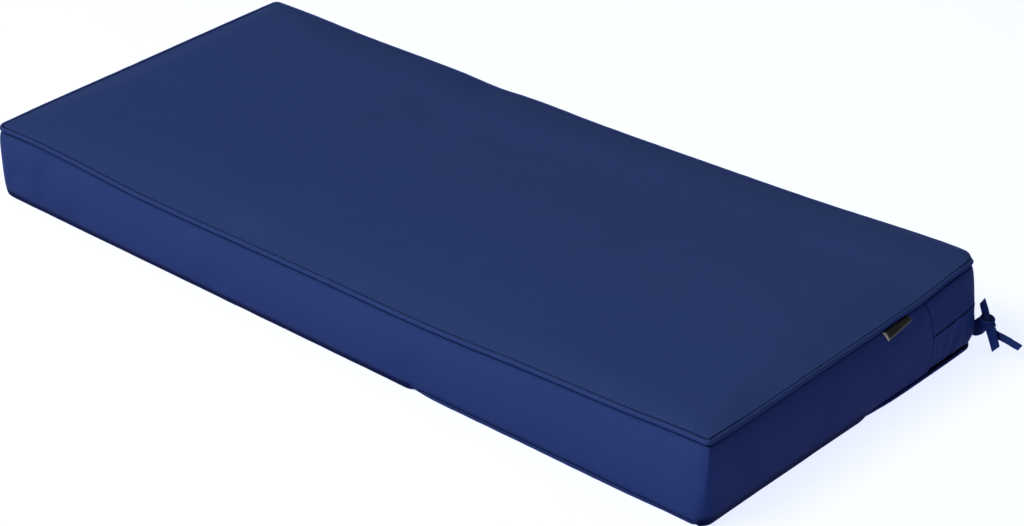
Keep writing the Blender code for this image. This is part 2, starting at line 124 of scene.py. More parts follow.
# Angles round a piping at which the cloth leaves it
TOP_LIP = math.radians(-95)
TOP_PANEL_LIP = math.radians(-210)
END_LIP_TURN = math.radians(32)
BOTTOM_LIP = math.radians(56)
BOTTOM_PANEL_LIP = math.radians(236)
TUCK_TURN = math.radians(8)

BULGE_LOW, BULGE_ROUND = 0.8, 2.2
TUCK_POWER = 28
# The boxing rolls under where the bottom seam is tucked in by ROLL_FROM to ROLL_FULL. Shares of its
# height: the lowest point of the roll, the top of its painted shade, and the part held while the cover settles.
ROLL_FROM, ROLL_FULL = 1.0 * MM, 2.5 * MM
ROLL_HEIGHT, ROLL_SHADE_TOP, ROLL_HELD = 0.035, 0.078, 0.1
ROLL_REST, END_ROLL_REST = 0.5 * MM, 1.3 * MM
GROOVE_DEPTH, GROOVE_REACH, END_GROOVE = 1.5 * MM, 2.5 * MM, 0.6
FULL_RISE = 6 * MM
REST_GAP = 0.3 * MM
CHANNEL_GAP = 0.4 * MM

# Painted shade on the boxing beside its top and bottom grooves, and more softly over its foot
LOW_SHADE = 0.95
HIGH_SHADE_REACH, LOW_SHADE_REACH = 1.1 * MM, 0.9 * MM
FOOT_SHADE, END_FOOT_SHADE = 0.18, 0.27
FOOT_REACH, END_FOOT_REACH = 14 * MM, 16 * MM

# Where the boxing stands fuller, in millimetres, and its share of the height with how far it reaches
FULL_SPOTS = [
    # side, place, amount, width, height, reach
    ("front", -0.93, 3.0, 40, 1.0, 0.34),
    ("front", -0.62, 2.6, 120, 1.0, 0.30),
    ("front", -0.25, 1.8, 110, 1.0, 0.34),
    ("front", 0.1, 2.4, 130, 1.0, 0.28),
    ("front", 0.48, 1.8, 120, 1.0, 0.32),
    ("front", 0.955, 1.8, 14, 1.0, 0.34),
    ("end", 0.0, 0.3, 120, 1.0, 0.34),
    ("rear", -1.0, 3.8, 20, 0.2, 0.16),
]

# The boxing's creases in millimetres: a trough is negative and a ridge positive. "along" is the
# distance along the side from its middle, and "up" the height above the bottom seam.
BOXING_CREASES = [
    # side, along, up, to along, to up, width, depth
    ("front", -505, 20, -478, 62, 7.0, -0.9),
    ("front", -492, 14, -462, 50, 6.0, 0.7),
    ("front", -470, 30, -430, 74, 8.0, -0.6),
    ("front", -457, 16, -434, 40, 7.0, -0.7),
    ("front", -405, 12, -372, 40, 9.0, -0.5),
    ("front", -180, 16, -150, 44, 12.0, -0.4),
    ("front", 120, 20, 160, 52, 12.0, -0.4),
    ("front", 488, 10, 498, 60, 8.0, 0.5),
    ("end", -190, 70, -160, 30, 9.0, -0.6),
    ("end", -60, 20, -30, 56, 12.0, -0.5),
    ("end", 60, 24, 40, 62, 12.0, -0.5),
    ("left", -150, 20, -185, 60, 9.0, -0.7),
    ("left", 150, 20, 180, 58, 9.0, -0.7),
    ("left", 20, 16, 40, 60, 12.0, -0.5),
]
# The same on the top panel, by x and y.
PANEL_CREASES = [
    # x, y, to x, to y, width, depth
    (508, -205, 470, -170, 9.0, -1.1),
    (512, -190, 490, -150, 8.0, 0.7),
    (517, -212, 500, -196, 3.5, -1.0),
    (506, -222, 494, -204, 3.5, -0.8),
    (496, 205, 455, 172, 12.0, -0.9),
    (-500, -205, -462, -178, 12.0, -0.8),
    (-495, 200, -455, 172, 12.0, -0.8),
    (-180, -222, -150, -190, 14.0, -0.5),
    (210, 218, 190, 186, 14.0, -0.5),
]

# Straps as (centre, way across, width, slant) from the root to the tip, in metres
TIE_BAND = [
    ((0.4990, 0.2385, 0.0140), (0.0, 0.1, 1.0), 0.0160, 0.0),
    ((0.5110, 0.2400, 0.0140), (0.0, 0.2, 1.0), 0.0175, 0.0),
    ((0.5209, 0.2358, 0.0155), (-0.1, 0.1, 1.0), 0.0158, 0.0),
    ((0.5284, 0.2325, 0.0226), (-0.28, 0.1, 1.0), 0.0172, 0.0),
    ((0.5345, 0.2300, 0.0300), (-0.38, 0.1, 1.0), 0.0160, 0.0),
]
TIE_END_UP = [
    ((0.5375, 0.2285, 0.0395), (1.0, 0.1, 0.4), 0.0090, 0.0),
    ((0.5352, 0.2285, 0.0455), (1.0, 0.1, 0.4), 0.0090, 0.0),
    ((0.5332, 0.2283, 0.0508), (1.0, 0.1, 0.4), 0.0088, 0.0),
    ((0.5311, 0.2280, 0.0562), (1.0, 0.1, 0.4), 0.0080, 0.0062),
]
TIE_END_DOWN = [
    ((0.5462, 0.2245, 0.0310), (1.0, 0.0, -0.3), 0.0115, 0.0),
    ((0.5486, 0.2235, 0.0255), (1.0, 0.0, -0.3), 0.0125, 0.0),
    ((0.5520, 0.2235, 0.0170), (1.0, 0.0, -0.2), 0.0120, 0.0),
    ((0.5553, 0.2235, 0.0086), (1.0, 0.0, 0.0), 0.0110, -0.0060),
]
TIE_END_SIDE = [
    ((0.5450, 0.2290, 0.0262), (0.5, 0.1, 1.0), 0.0088, 0.0),
    ((0.5515, 0.2290, 0.0228), (0.4, 0.1, 1.0), 0.0088, 0.0),
    ((0.5600, 0.2290, 0.0218), (0.3, 0.1, 1.0), 0.0088, 0.0),
    ((0.5700, 0.2288, 0.0202), (0.2, 0.1, 1.0), 0.0088, 0.0),
    ((0.5808, 0.2285, 0.0182), (0.1, 0.1, 1.0), 0.0084, 0.0030),
]


class CushionSizes(bpy.types.PropertyGroup):
    """Sizes of the cushion and its trim"""

    seam_length: FloatProperty(
        name="Seam Length", description="Between the end seams", default=1.0463, unit="LENGTH", min=0.3
    )
    seam_width: FloatProperty(
        name="Seam Width", description="Between the long seams", default=0.4573, unit="LENGTH", min=0.2
    )
    seam_height: FloatProperty(
        name="Seam Height", description="Between the two piped seams", default=0.0896, unit="LENGTH", min=0.03
    )
    corner_radius: FloatProperty(
        name="Corner Radius", description="Rounding of the plan's corners", default=0.018, unit="LENGTH"
    )
    piping_radius: FloatProperty(
        name="Piping Radius", description="Half the width of the covered cord", default=0.0026, unit="LENGTH"
    )
    crown: FloatProperty(
        name="Crown", description="Rise of the top panel before it swells", default=0.005, unit="LENGTH"
    )
    shoulder: FloatProperty(
        name="Shoulder", description="Quick rise of the panel beside its seam", default=0.0016, unit="LENGTH"
    )
    swell_limit: FloatProperty(
        name="Swell Limit", description="The most that padding moves the cloth", default=0.004, unit="LENGTH"
    )
    pressure: FloatProperty(
        name="Pressure", description="How hard the filling pushes while the cover settles", default=4.0
    )
    long_spans: IntProperty(
        name="Long Spans", description="Mesh spans along a long side", default=112, min=8
    )
    short_spans: IntProperty(
        name="Short Spans", description="Mesh spans along a short side", default=46, min=4
    )
    slit_height: FloatProperty(
        name="Slit Height", description="Share of the boxing's height", default=0.493, subtype="FACTOR"
    )
    strap_thickness: FloatProperty(
        name="Strap Thickness", description="Thickness of the folded ties", default=0.0016, unit="LENGTH"
    )


class CushionColours(bpy.types.PropertyGroup):
    """Colours of the cushion's cloths"""

    canvas: FloatVectorProperty(
        name="Canvas", description="Navy canvas of the cover", subtype="COLOR", default=(0.0150, 0.0315, 0.139)
    )
    strap: FloatVectorProperty(
        name="Strap", description="The same canvas, folded and pressed", subtype="COLOR",
        default=(0.0105, 0.0250, 0.128),
    )
    thread: FloatVectorProperty(
        name="Thread", description="Sewing thread", subtype="COLOR", default=(0.0110, 0.0270, 0.140)
    )
    tape: FloatVectorProperty(
        name="Tape", description="Black tape of the bare tab", subtype="COLOR", default=(0.0090, 0.0100, 0.0140)
    )


class CushionStage(bpy.types.PropertyGroup):
    """Camera and light"""

    azimuth: FloatProperty(
        name="Azimuth", description="Camera's way round the cushion", subtype="ANGLE",
        default=math.radians(41.56),
    )
    elevation: FloatProperty(
        name="Elevation", description="Camera's height angle", subtype="ANGLE", default=math.radians(28.72)
    )
    distance: FloatProperty(
        name="Distance", description="From the aim point to the camera", default=2.852, unit="LENGTH"
    )
    aim: FloatVectorProperty(
        name="Aim", description="Point that the camera looks at", subtype="XYZ", default=(0.0411, 0.0404, 0.0)
    )
    lens: FloatProperty(name="Lens", description="Focal length in millimetres", default=89.65)
    key_power: FloatProperty(name="Key", description="Watts of the front softbox", default=560.0)
    top_power: FloatProperty(name="Top", description="Watts of the softbox overhead", default=54.0)
    light: FloatVectorProperty(
        name="Light", description="Colour of the softboxes", subtype="COLOR", default=(1.0, 0.89, 0.65)
    )
    ambient: FloatProperty(name="Ambient", description="Brightness of the room", default=0.05)
    glow: FloatVectorProperty(
        name="Glow", description="Light that the backlit floor gives by itself", subtype="COLOR",
        default=(0.72, 0.77, 0.98), soft_max=2.0,
    )


SIDES = ("front", "end", "rear", "left")


class Seams:
    """Where the seams and the boxing of the cushion run, worked out from its sizes."""

    def __init__(self, sizes):
        self.sizes = sizes
        self.half_x = sizes.seam_length / 2
        self.half_y = sizes.seam_width / 2
        self.bottom_z = sizes.piping_radius + REST_GAP
        self.top_z = self.bottom_z + sizes.seam_height
        self.channel = sizes.piping_radius + CHANNEL_GAP
        x, y = Vector((1, 0, 0)), Vector((0, 1, 0))
        self.side = {
            "front": (x, -y, self.half_x, self.half_y),
            "end": (y, x, self.half_y, self.half_x),
            "rear": (-x, y, self.half_x, self.half_y),
            "left": (-y, -x, self.half_y, self.half_x),
        }
        self.perimeter = 2 * (sizes.seam_length + sizes.seam_width)
        self.stops = [self.distance(row[0], row[1]) for row in STATIONS]

    def half(self, side):
        return self.side[side][2]

    def distance(self, side, place):
        """Distance along the sharp rectangle from the front left corner."""
        start = sum(2 * self.half(name) for name in SIDES[: SIDES.index(side)])
        return start + (place + 1) * self.half(side)

    def plan(self, side, place, level):
        """The seam's true-rectangle point and outward direction, with the corner rounded off."""
        along_way, out_way, half, depth = self.side[side]
        nominal = self.sizes.corner_radius
        corner = CORNERS[(SIDES.index(side) + (place > 0)) % 4]
        radius = corner[level + 2] * MM
        past = abs(place) * half - (half - nominal)
        turn = max(0.0, past / nominal) * math.pi / 4
        ease = min(1.0, max(0.0, 1 + past / CORNER_EASE)) ** 2
        along = half - nominal + min(past, 0.0) + (nominal - radius) * ease + radius * math.sin(turn)
        sign = 1 if place >= 0 else -1
        outward = along_way * sign * math.sin(turn) + out_way * math.cos(turn)
        return along_way * sign * along + out_way * (depth - radius * (1 - math.cos(turn))), outward

    def spread(self, side, place, height):
        """The way in which the boxing swells: straight out, or kept square high up at a mitred corner."""
        along_way, out_way, half, _ = self.side[side]
        nominal = self.sizes.corner_radius
        share = max(0.0, (abs(place) * half - half + nominal) / nominal)
        along_way = along_way * (1 if place >= 0 else -1)
        turn = share * math.pi / 4
        mitre = CORNERS[(SIDES.index(side) + (place > 0)) % 4][MITRE] * min(1.0, 2 * height)
        return (along_way * math.sin(turn) + out_way * math.cos(turn)).lerp(out_way + along_way * share, mitre)

    @lru_cache(maxsize=None)
    def wander(self, side, place, column):
        """One column of STATIONS at a place, as a smooth closed curve round the cushion."""
        here = self.distance(side, place) % self.perimeter
        count = len(STATIONS)
        index = max(i for i in range(count) if self.stops[i] <= here + 1e-9)

        def knot(step):
            turns, wrapped = divmod(index + step, count)
            return self.stops[wrapped] + turns * self.perimeter, STATIONS[wrapped][column]

        (s0, v0), (s1, v1), (s2, v2), (s3, v3) = (knot(step) for step in (-1, 0, 1, 2))
        t = (here - s1) / (s2 - s1)
        slope_1 = (v2 - v0) / (s2 - s0) * (s2 - s1)
        slope_2 = (v3 - v1) / (s3 - s1) * (s2 - s1)
        h = 2 * t**3 - 3 * t**2 + 1
        value = h * v1 + (1 - h) * v2
        value += (t**3 - 2 * t**2 + t) * slope_1 + (t**3 - t**2) * slope_2
        return value * MM

    def corner_shift(self, point, level):
        total = Vector((0, 0, 0))
        for row in CORNERS:
            weight = (1 + row[0] * point.x / self.half_x) * (1 + row[1] * point.y / self.half_y) / 4
            total += Vector((row[level], row[level + 1], 0)) * weight * MM
        return total

    def top(self, side, place):
        """Centre of the top piping and the outward direction there."""
        point, outward = self.plan(side, place, AT_TOP)
        seam = point + outward * self.wander(side, place, OUT) + self.corner_shift(point, AT_TOP)
        seam.z = self.top_z + self.wander(side, place, RISE)
        return seam, outward

    def bottom(self, side, place):
        """Centre of the bottom piping and the outward direction there."""
        point, outward = self.plan(side, place, AT_BOTTOM)
        seam = point - outward * self.wander(side, place, UNDER) + self.corner_shift(point, AT_BOTTOM)
        seam.z = self.bottom_z
        return seam, outward

    def round_seam(self, seam, outward, angle):
        return seam + (outward * math.cos(angle) + UP * math.sin(angle)) * self.channel

    def bottom_lip(self, side, place):
        return BOTTOM_LIP - TUCK_TURN * self.wander(side, place, UNDER) / MM

    def fullness(self, side, place, height):
        here = self.distance(side, place)
        total = 0.0
        for name, spot, amount, width, middle, reach in FULL_SPOTS:
            away = abs(here - self.distance(name, spot))
            away = min(away, self.perimeter - away)
            total += amount * MM * math.exp(-((away / (width * MM)) ** 2) - ((height - middle) / reach) ** 2)
        return total * (1 - math.exp(-(1 - height) * self.sizes.seam_height / FULL_RISE))

    def rolled(self, side, place):
        """0 where the bottom piping shows and 1 where the boxing has rolled down over it."""
        share = (self.wander(side, place, UNDER) - ROLL_FROM) / (ROLL_FULL - ROLL_FROM)
        share = min(1.0, max(0.0, share))
        return share * share * (3 - 2 * share)

    def boxing(self, side, place, height, proud=0.0):
        """A point on the boxing, from height 0 at the bottom lip to 1 at the top lip."""
        low_seam, outward = self.bottom(side, place)
        high_seam, _ = self.top(side, place)
        tuck = self.wander(side, place, UNDER)
        low = self.round_seam(low_seam, outward, self.bottom_lip(side, place)) + outward * tuck
        high = self.round_seam(high_seam, outward, TOP_LIP)
        point = low.lerp(high, height)
        bulge = 1 - abs(2 * height**BULGE_LOW - 1) ** BULGE_ROUND
        below = (1 - height) * self.sizes.seam_height
        groove = GROOVE_DEPTH * (1 + END_GROOVE * facing_end(outward)) * height * (1 - math.exp(-below / GROOVE_REACH))
        swell = self.wander(side, place, BULGE) * bulge + groove + self.fullness(side, place, height)
        point += self.spread(side, place, height) * (swell + proud)
        point -= outward * tuck * (1 - height) ** TUCK_POWER
        rest = ROLL_REST + (END_ROLL_REST - ROLL_REST) * facing_end(outward)
        dip = self.rolled(side, place) * (low.z + ROLL_HEIGHT * self.sizes.seam_height - rest)
        point.z -= dip * height / ROLL_HEIGHT * math.exp(1 - height / ROLL_HEIGHT)
        point.z = max(point.z, REST_GAP)
        return point

    def shade(self, side, place, height):
        """Painted shade on the boxing's cloth beside its grooves, where it rolls under, and more softly over its foot.
        """
        above = max(0.0, height - self.rolled(side, place) * ROLL_SHADE_TOP) * self.sizes.seam_height
        below = max(0.0, 1 - height) * self.sizes.seam_height
        on_end = facing_end(self.top(side, place)[1])
        foot = (FOOT_SHADE + END_FOOT_SHADE * on_end) * math.exp(-above / (FOOT_REACH + END_FOOT_REACH * on_end))
        return min(1.0, math.exp(-below / HIGH_SHADE_REACH) + LOW_SHADE * math.exp(-above / LOW_SHADE_REACH) + foot)

    def panel_lip(self, outward):
        """Angle at which the top panel leaves its piping: higher on the right-hand end."""
        return TOP_PANEL_LIP - END_LIP_TURN * facing_end(outward)


def facing_end(outward):
    """1 where a side faces the right-hand end, falling to 0 round the corners."""
    return max(0.0, outward.x) ** 2


# The flapped slit: its upright seam crosses the right-hand end at FOOT, and leans by LEAN at the top
SLIT_SEAM_FOOT = 0.1412
SLIT_SEAM_LEAN = 0.0186
SLIT_SEAM_BEND = 2.7
SLIT_COLUMN = 1.6 * MM
SLIT_LAP = 0.9 * MM
SLIT_SLANT_REACH = 40 * MM
SLIT_LIFT = 0.045
RECESS = 5.2 * MM

# Where the cover has its rows, as shares of the boxing's height, and its columns, as shares of a corner
BOXING_ROWS = (
    0.006, 0.014, 0.026, 0.042, 0.056, 0.066, 0.08, 0.13, 0.20, 0.29,
    0.39, 0.50, 0.61, 0.71, 0.79, 0.86, 0.915, 0.95, 0.972, 0.986,
)
CHANNEL_STEPS = 6
CORNER_PARTS = (0.30, 0.56, 0.76, 0.90, 1.0)
# Puckers beside the seams and the panel's unevenness, in millimetres, and how far the puckers reach
BOXING_PUCKER, PANEL_PUCKER, PANEL_UNEVEN = 0.40, 0.35, 0.25
PUCKER_REACH = 11 * MM


def slit_seam_y(height):
    return SLIT_SEAM_FOOT - SLIT_SEAM_LEAN * max(0.0, height) ** SLIT_SEAM_BEND


def side_places(seams, side):
    """Places along a side where the skin is sampled, with columns beside the slit's upright seam."""
    half, radius = seams.half(side), seams.sizes.corner_radius
    long_side = half == seams.half_x
    spans = seams.sizes.long_spans if long_side else seams.sizes.short_spans
    straight = (half - radius) / half
    inner = [straight * (2 * i / spans - 1) for i in range(spans + 1)]
    if not long_side:
        middle = slit_seam_y(0.5)
        step = straight * half / spans
        sign = 1 if side == "end" else -1
        inner = [place for place in inner if abs(place * half * sign - middle) > step]
        inner += [sign * (middle + offset) / half for offset in (-SLIT_COLUMN, 0.0, SLIT_COLUMN)]
        inner.sort()
    corner = [(half - radius * (1 - part)) / half for part in CORNER_PARTS]
    return [-place for place in reversed(corner)] + inner + corner


def slanted(seams, side, place, height):
    """A place shifted so that the columns beside the upright seam lean as the seam does."""
    if side not in ("end", "left"):
        return place
    sign = 1 if side == "end" else -1
    y = place * seams.half_y * sign
    middle = slit_seam_y(0.5)
    weight = max(0.0, 1 - abs(y - middle) / SLIT_SLANT_REACH)
    return sign * (y + (slit_seam_y(height) - middle) * weight) / seams.half_y


def in_slit_section(seams, side, place, height):
    """0 on the main boxing and 1 where the slit strips lie over it."""
    if side == "rear":
        return 1.0
    if side == "front":
        return 0.0
    sign = 1 if side == "end" else -1
    past = place * seams.half_y * sign - slit_seam_y(height) - SLIT_LAP
    return min(1.0, max(0.0, past / SLIT_COLUMN))


def crease(point, start, end, width, depth):
    """A soft trough or ridge along a line, in millimetres, fading at both ends."""
    line = end - start
    t = max(0.0, min(1.0, (point - start).dot(line) / line.length_squared))
    far = (point - start - line * t).length
    return depth * math.exp(-((far / width) ** 2)) * (0.35 + 0.65 * math.sin(math.pi * (0.1 + 0.8 * t)))


def seam_pucker(distance, offset, strength):
    """Small uneven gathers beside a seam, in millimetres. offset is the distance from the seam."""
    wave = noise.noise(Vector((distance * 42.0, 3.1, 0))) + 0.5 * noise.noise(Vector((distance * 90.0, 7.7, 0)))
    return strength * wave * math.exp(-offset / PUCKER_REACH)


class Skin:
    """A mesh being sewn, which keeps the direction of its threads in a UV map in metres."""

    def __init__(self):
        self.bm = bmesh.new()
        self.threads = self.bm.loops.layers.uv.new(THREADS)
        self.shades = []

    def row(self, points, shades):
        self.shades += shades
        return [self.bm.verts.new(point) for point in points]

    def face(self, corners, threads):
        made = self.bm.faces.new(corners)
        made.smooth = True
        for loop, uv in zip(made.loops, threads):
            loop[self.threads].uv = uv
        return made

    def weave(self, rows, uvs, closed=False):
        """Quads between each row and the next. A closed row's UV list has one more entry than its vertices."""
        for lower, upper, lower_uv, upper_uv in zip(rows, rows[1:], uvs, uvs[1:]):
            count = len(lower)
            for i in range(count if closed else count - 1):
                j = (i + 1) % count
                corners = (lower[i], lower[j], upper[j], upper[i])
                self.face(corners, (lower_uv[i], lower_uv[i + 1], upper_uv[i + 1], upper_uv[i]))

    def cap(self, rows, uvs):
        """Closes both ends of a flat tube with quads between its two faces."""
        for row, uv in ((rows[0], uvs[0]), (rows[-1], uvs[-1])):
            last = len(row) - 1
            for i in range(len(row) // 2 - 1):
                corners = (i, i + 1, last - i - 1, last - i)
                self.face([row[k] for k in corners], [uv[k] for k in corners])

    def finish(self, name):
        """Makes the object with its faces pointing outwards, and stores on its vertices its painted shade (on the tab,
        its pale edges).
        """
        bmesh.ops.recalc_face_normals(self.bm, faces=self.bm.faces)
        piece = link_mesh(name, self.bm)
        store_shades(piece.data, self.shades)
        return piece


def link(name, data):
    made = bpy.data.objects.new(name, data)
    bpy.context.scene.collection.objects.link(made)
    return made


def link_mesh(name, bm):
    """Makes an object of a mesh that is finished."""
    mesh = bpy.data.meshes.new(name)
    bm.to_mesh(mesh)
    bm.free()
    return link(name, mesh)


def store_shades(mesh, shades):
    mesh.attributes.new(SHADE, "FLOAT", "POINT").data.foreach_set("value", shades)


def subdivide_once(piece):
    smooth = piece.modifiers.new("smooth", "SUBSURF")
    smooth.levels = 1
    smooth.render_levels = 1


def as_plain_mesh(piece):
    """Replaces an object's mesh with its evaluated one and drops its modifiers."""
    evaluated = piece.evaluated_get(bpy.context.evaluated_depsgraph_get())
    mesh = bpy.data.meshes.new_from_object(evaluated)
    piece.modifiers.clear()
    piece.data = mesh


def dress(piece, finish, nodes=()):
    """Gives a finished piece its cloth and its body, and hides the CAD nodes that it stands for."""
    piece.data.materials.clear()
    piece.data.materials.append(finish)
    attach(piece, BODY)
    if nodes:
        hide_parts(*nodes)


class Value:
    """A number that varies over a surface. Python's operators on it add Math nodes."""

    def __init__(self, finish, socket):
        self.finish = finish
        self.socket = socket

    def combine(self, operation, other, swapped=False):
        terms = (other, self) if swapped else (self, other)
        return self.finish.maths(operation, *terms)

    def __add__(self, other):
        return self.combine("ADD", other)

    def __radd__(self, other):
        return self.combine("ADD", other, swapped=True)

    def __sub__(self, other):
        return self.combine("SUBTRACT", other)

    def __rsub__(self, other):
        return self.combine("SUBTRACT", other, swapped=True)

    def __mul__(self, other):
        return self.combine("MULTIPLY", other)

    def __rmul__(self, other):
        return self.combine("MULTIPLY", other, swapped=True)

    def sine(self):
        return self.finish.maths("SINE", self)


class Finish:
    """A Principled material and the nodes that feed it."""

    def __init__(self, name):
        self.material = bpy.data.materials.new(name)
        self.material.use_nodes = True
        self.nodes = self.material.node_tree.nodes
        self.links = self.material.node_tree.links
        self.shader = self.nodes["Principled BSDF"]

    @staticmethod
    def socket(sockets, name):
        for found in sockets:
            if found.identifier == name:
                return found
        return sockets[name]

    def feed(self, socket, source):
        source = source.socket if isinstance(source, Value) else source
        if isinstance(source, bpy.types.NodeSocket):
            self.links.new(source, socket)
        else:
            socket.default_value = source

    def node(self, kind, settings=None, inputs=None):
        """One node of a type, with its settings first and then the values or links of its sockets."""
        made = self.nodes.new(kind)
        for key, value in (settings or {}).items():
            setattr(made, key, value)
        for key, source in (inputs or {}).items():
            self.feed(self.socket(made.inputs, key), source)
        return made

    def maths(self, operation, *terms):
        made = self.node("ShaderNodeMath", {"operation": operation})
        for socket, term in zip(made.inputs, terms):
            self.feed(socket, term)
        return Value(self, made.outputs[0])

    def value(self, kind, settings, inputs, output):
        return Value(self, self.socket(self.node(kind, settings, inputs).outputs, output))

    def noise(self, vector, scale, stretch=(1.0, 1.0, 1.0), detail=2.0):
        stretched = self.node("ShaderNodeMapping", None, {"Vector": vector, "Scale": stretch})
        inputs = {"Vector": stretched.outputs["Vector"], "Scale": scale, "Detail": detail}
        return self.value("ShaderNodeTexNoise", None, inputs, "Fac")

    def blend(self, factor, first, second):
        first, second = (c if isinstance(c, bpy.types.NodeSocket) else (*c, 1.0) for c in (first, second))
        inputs = {"Factor_Float": factor, "A_Color": first, "B_Color": second}
        mixed = self.node("ShaderNodeMix", {"data_type": "RGBA"}, inputs)
        return self.socket(mixed.outputs, "Result_Color")

    def bump(self, height, distance, strength=1.0):
        inputs = {"Height": height, "Distance": distance, "Strength": strength}
        return self.node("ShaderNodeBump", None, inputs).outputs["Normal"]


# Sizes of the weaves in metres, and the scales of a slub along and across its thread
WEAVE_PITCH, RIB_PITCH = 1.1 * MM, 0.6 * MM
WEAVE_RELIEF, TAPE_RELIEF, THREAD_RELIEF = 0.12 * MM, 0.06 * MM, 0.05 * MM
SLUB_LONG, SLUB_SHORT = 60.0, 1500.0
TAPE_GRAIN = (300.0, 2600.0, 1.0)
STRAND_SCALE = 2400.0
CANVAS_TONES, TAPE_TONES, THREAD_TONES = (0.86, 1.14), (0.7, 1.8), (0.7, 1.5)
TAPE_EDGE = (0.24, 0.24, 0.26)
CANVAS_SHEEN, TAPE_SHEEN = 0.015, 0.10
BIAS = math.radians(45)
# Painted shade: the share of its colour that cloth is darkened to in grooves, folds, creases and hollows, and how much
# painted shade a boxing crease gets for each millimetre of its depth
GROOVE_SHADE_COLOUR = (0.04, 0.10, 0.26)
CREASE_SHADE = 0.22


def two_tones(colour, tones):
    """A colour made darker and lighter."""
    return [[channel * tone for channel in colour] for tone in tones]


def canvas_finish(name, colour, bias=0.0, by_object=False):
    """Plain woven canvas: crossing threads, slubs, a faint unevenness of dye and nap, and painted shade read from the
    shade attribute.
    """
    finish = Finish(name)
    place = finish.node("ShaderNodeTexCoord")
    threads = place.outputs["Object"]
    if not by_object:
        threads = finish.node("ShaderNodeUVMap", {"uv_map": THREADS}).outputs["UV"]
    turned = finish.node("ShaderNodeMapping", None, {"Vector": threads, "Rotation": (0.0, 0.0, bias)})
    threads = turned.outputs["Vector"]
    axes = finish.node("ShaderNodeSeparateXYZ", None, {"Vector": threads})
    wave = 2 * math.pi / WEAVE_PITCH
    warp = (Value(finish, axes.outputs["X"]) * wave).sine()
    weft = (Value(finish, axes.outputs["Y"]) * wave).sine()
    slubs = finish.noise(threads, 1.0, (SLUB_LONG, SLUB_SHORT, 1.0))
    slubs = slubs + finish.noise(threads, 1.0, (SLUB_SHORT, SLUB_LONG, 1.0)) - 1.0
    nap = finish.noise(place.outputs["Object"], 3.0, detail=3.0) - 0.5
    rubbed = finish.noise(place.outputs["Object"], 26.0, detail=4.0) - 0.5
    shade = 0.5 + slubs * 0.55 + nap * 0.5 + rubbed * 0.25
    # Painted shade: the shade attribute darkens the cloth in grooves, creases, folds, hollows, along strap edges and
    # near the floor
    groove = finish.node("ShaderNodeAttribute", {"attribute_name": SHADE}).outputs["Fac"]
    cloth = finish.blend(shade, *two_tones(colour, CANVAS_TONES))
    shader = finish.shader.inputs
    sunk = [channel * part for channel, part in zip(colour, GROOVE_SHADE_COLOUR)]
    finish.feed(shader["Base Color"], finish.blend(groove, cloth, sunk))
    finish.feed(shader["Roughness"], 0.60 + slubs * 0.10 + nap * 0.06)
    finish.feed(shader["Normal"], finish.bump(warp * weft * 0.5 + slubs * 1.2, WEAVE_RELIEF, 0.45))
    shader["Specular IOR Level"].default_value = CANVAS_SHEEN
    return finish.material


def tape_finish(name, colour):
    """Satin-woven black tape with a fine rib across it."""
    finish = Finish(name)
    threads = finish.node("ShaderNodeUVMap", {"uv_map": THREADS}).outputs["UV"]
    axes = finish.node("ShaderNodeSeparateXYZ", None, {"Vector": threads})
    rib = (Value(finish, axes.outputs["X"]) * (2 * math.pi / RIB_PITCH)).sine()
    grain = finish.noise(threads, 1.0, TAPE_GRAIN) - 0.5
    edge = finish.node("ShaderNodeAttribute", {"attribute_name": SHADE}).outputs["Fac"]
    woven = finish.blend(0.5 + grain, *two_tones(colour, TAPE_TONES))
    shader = finish.shader.inputs
    finish.feed(shader["Base Color"], finish.blend(edge, woven, TAPE_EDGE))
    finish.feed(shader["Roughness"], 0.46 + grain * 0.2)
    finish.feed(shader["Normal"], finish.bump(rib * 0.5 + grain, TAPE_RELIEF, 0.5))
    shader["Specular IOR Level"].default_value = TAPE_SHEEN
    return finish.material


def thread_finish(name, colour):
    """Twisted polyester thread."""
    finish = Finish(name)
    place = finish.node("ShaderNodeTexCoord")
    strands = finish.noise(place.outputs["Object"], STRAND_SCALE, detail=1.0) - 0.5
    shader = finish.shader.inputs
    finish.feed(shader["Base Color"], finish.blend(0.5 + strands, *two_tones(colour, THREAD_TONES)))
    finish.feed(shader["Roughness"], 0.45 + strands * 0.2)
    finish.feed(shader["Normal"], finish.bump(strands, THREAD_RELIEF, 0.4))
    return finish.material


SEWN = "sewn"
PADDING = {
    "quality": 6,
    "mass": 0.25,
    "tension_stiffness": 30,
    "compression_stiffness": 30,
    "shear_stiffness": 12,
    "bending_stiffness": 3,
    "vertex_group_mass": SEWN,
    "use_pressure": True,
}
SETTLE_FRAMES = 20


def settle_padding(piece, sewn, pressure, limit):
    """Lets the filling swell the cover between its sewn lines, and caps how far any point moves."""
    group = piece.vertex_groups.new(name=SEWN)
    for index, weight in sewn.items():
        group.add([index], weight, "REPLACE")
    before = [vertex.co.copy() for vertex in piece.data.vertices]
    cloth = piece.modifiers.new("padding", "CLOTH")
    for key, value in PADDING.items():
        setattr(cloth.settings, key, value)
    cloth.settings.uniform_pressure_force = pressure
    cloth.settings.effector_weights.gravity = 0
    cloth.collision_settings.use_collision = False
    scene = bpy.context.scene
    for step in range(1, SETTLE_FRAMES + 1):
        scene.frame_set(step)
    as_plain_mesh(piece)
    scene.frame_set(1)
    for vertex, start in zip(piece.data.vertices, before):
        move = vertex.co - start
        if move.length > limit:
            vertex.co = start + move * (limit / move.length)
    piece.vertex_groups.clear()


# The top panel: its lip beside the seam, how quickly it rises there, and how flat its crown is
LIP_RISE, LIP_REACH, SHOULDER_REACH = 1.1 * MM, 2.2 * MM, 14 * MM
FLAT_ACROSS, FLAT_ALONG = 2.5, 6
# Painted shade beside the top panel's front and rear seams, and how far in it reaches
PANEL_EDGE_SHADE, PANEL_SHADE_REACH = 0.5, 1.1 * MM
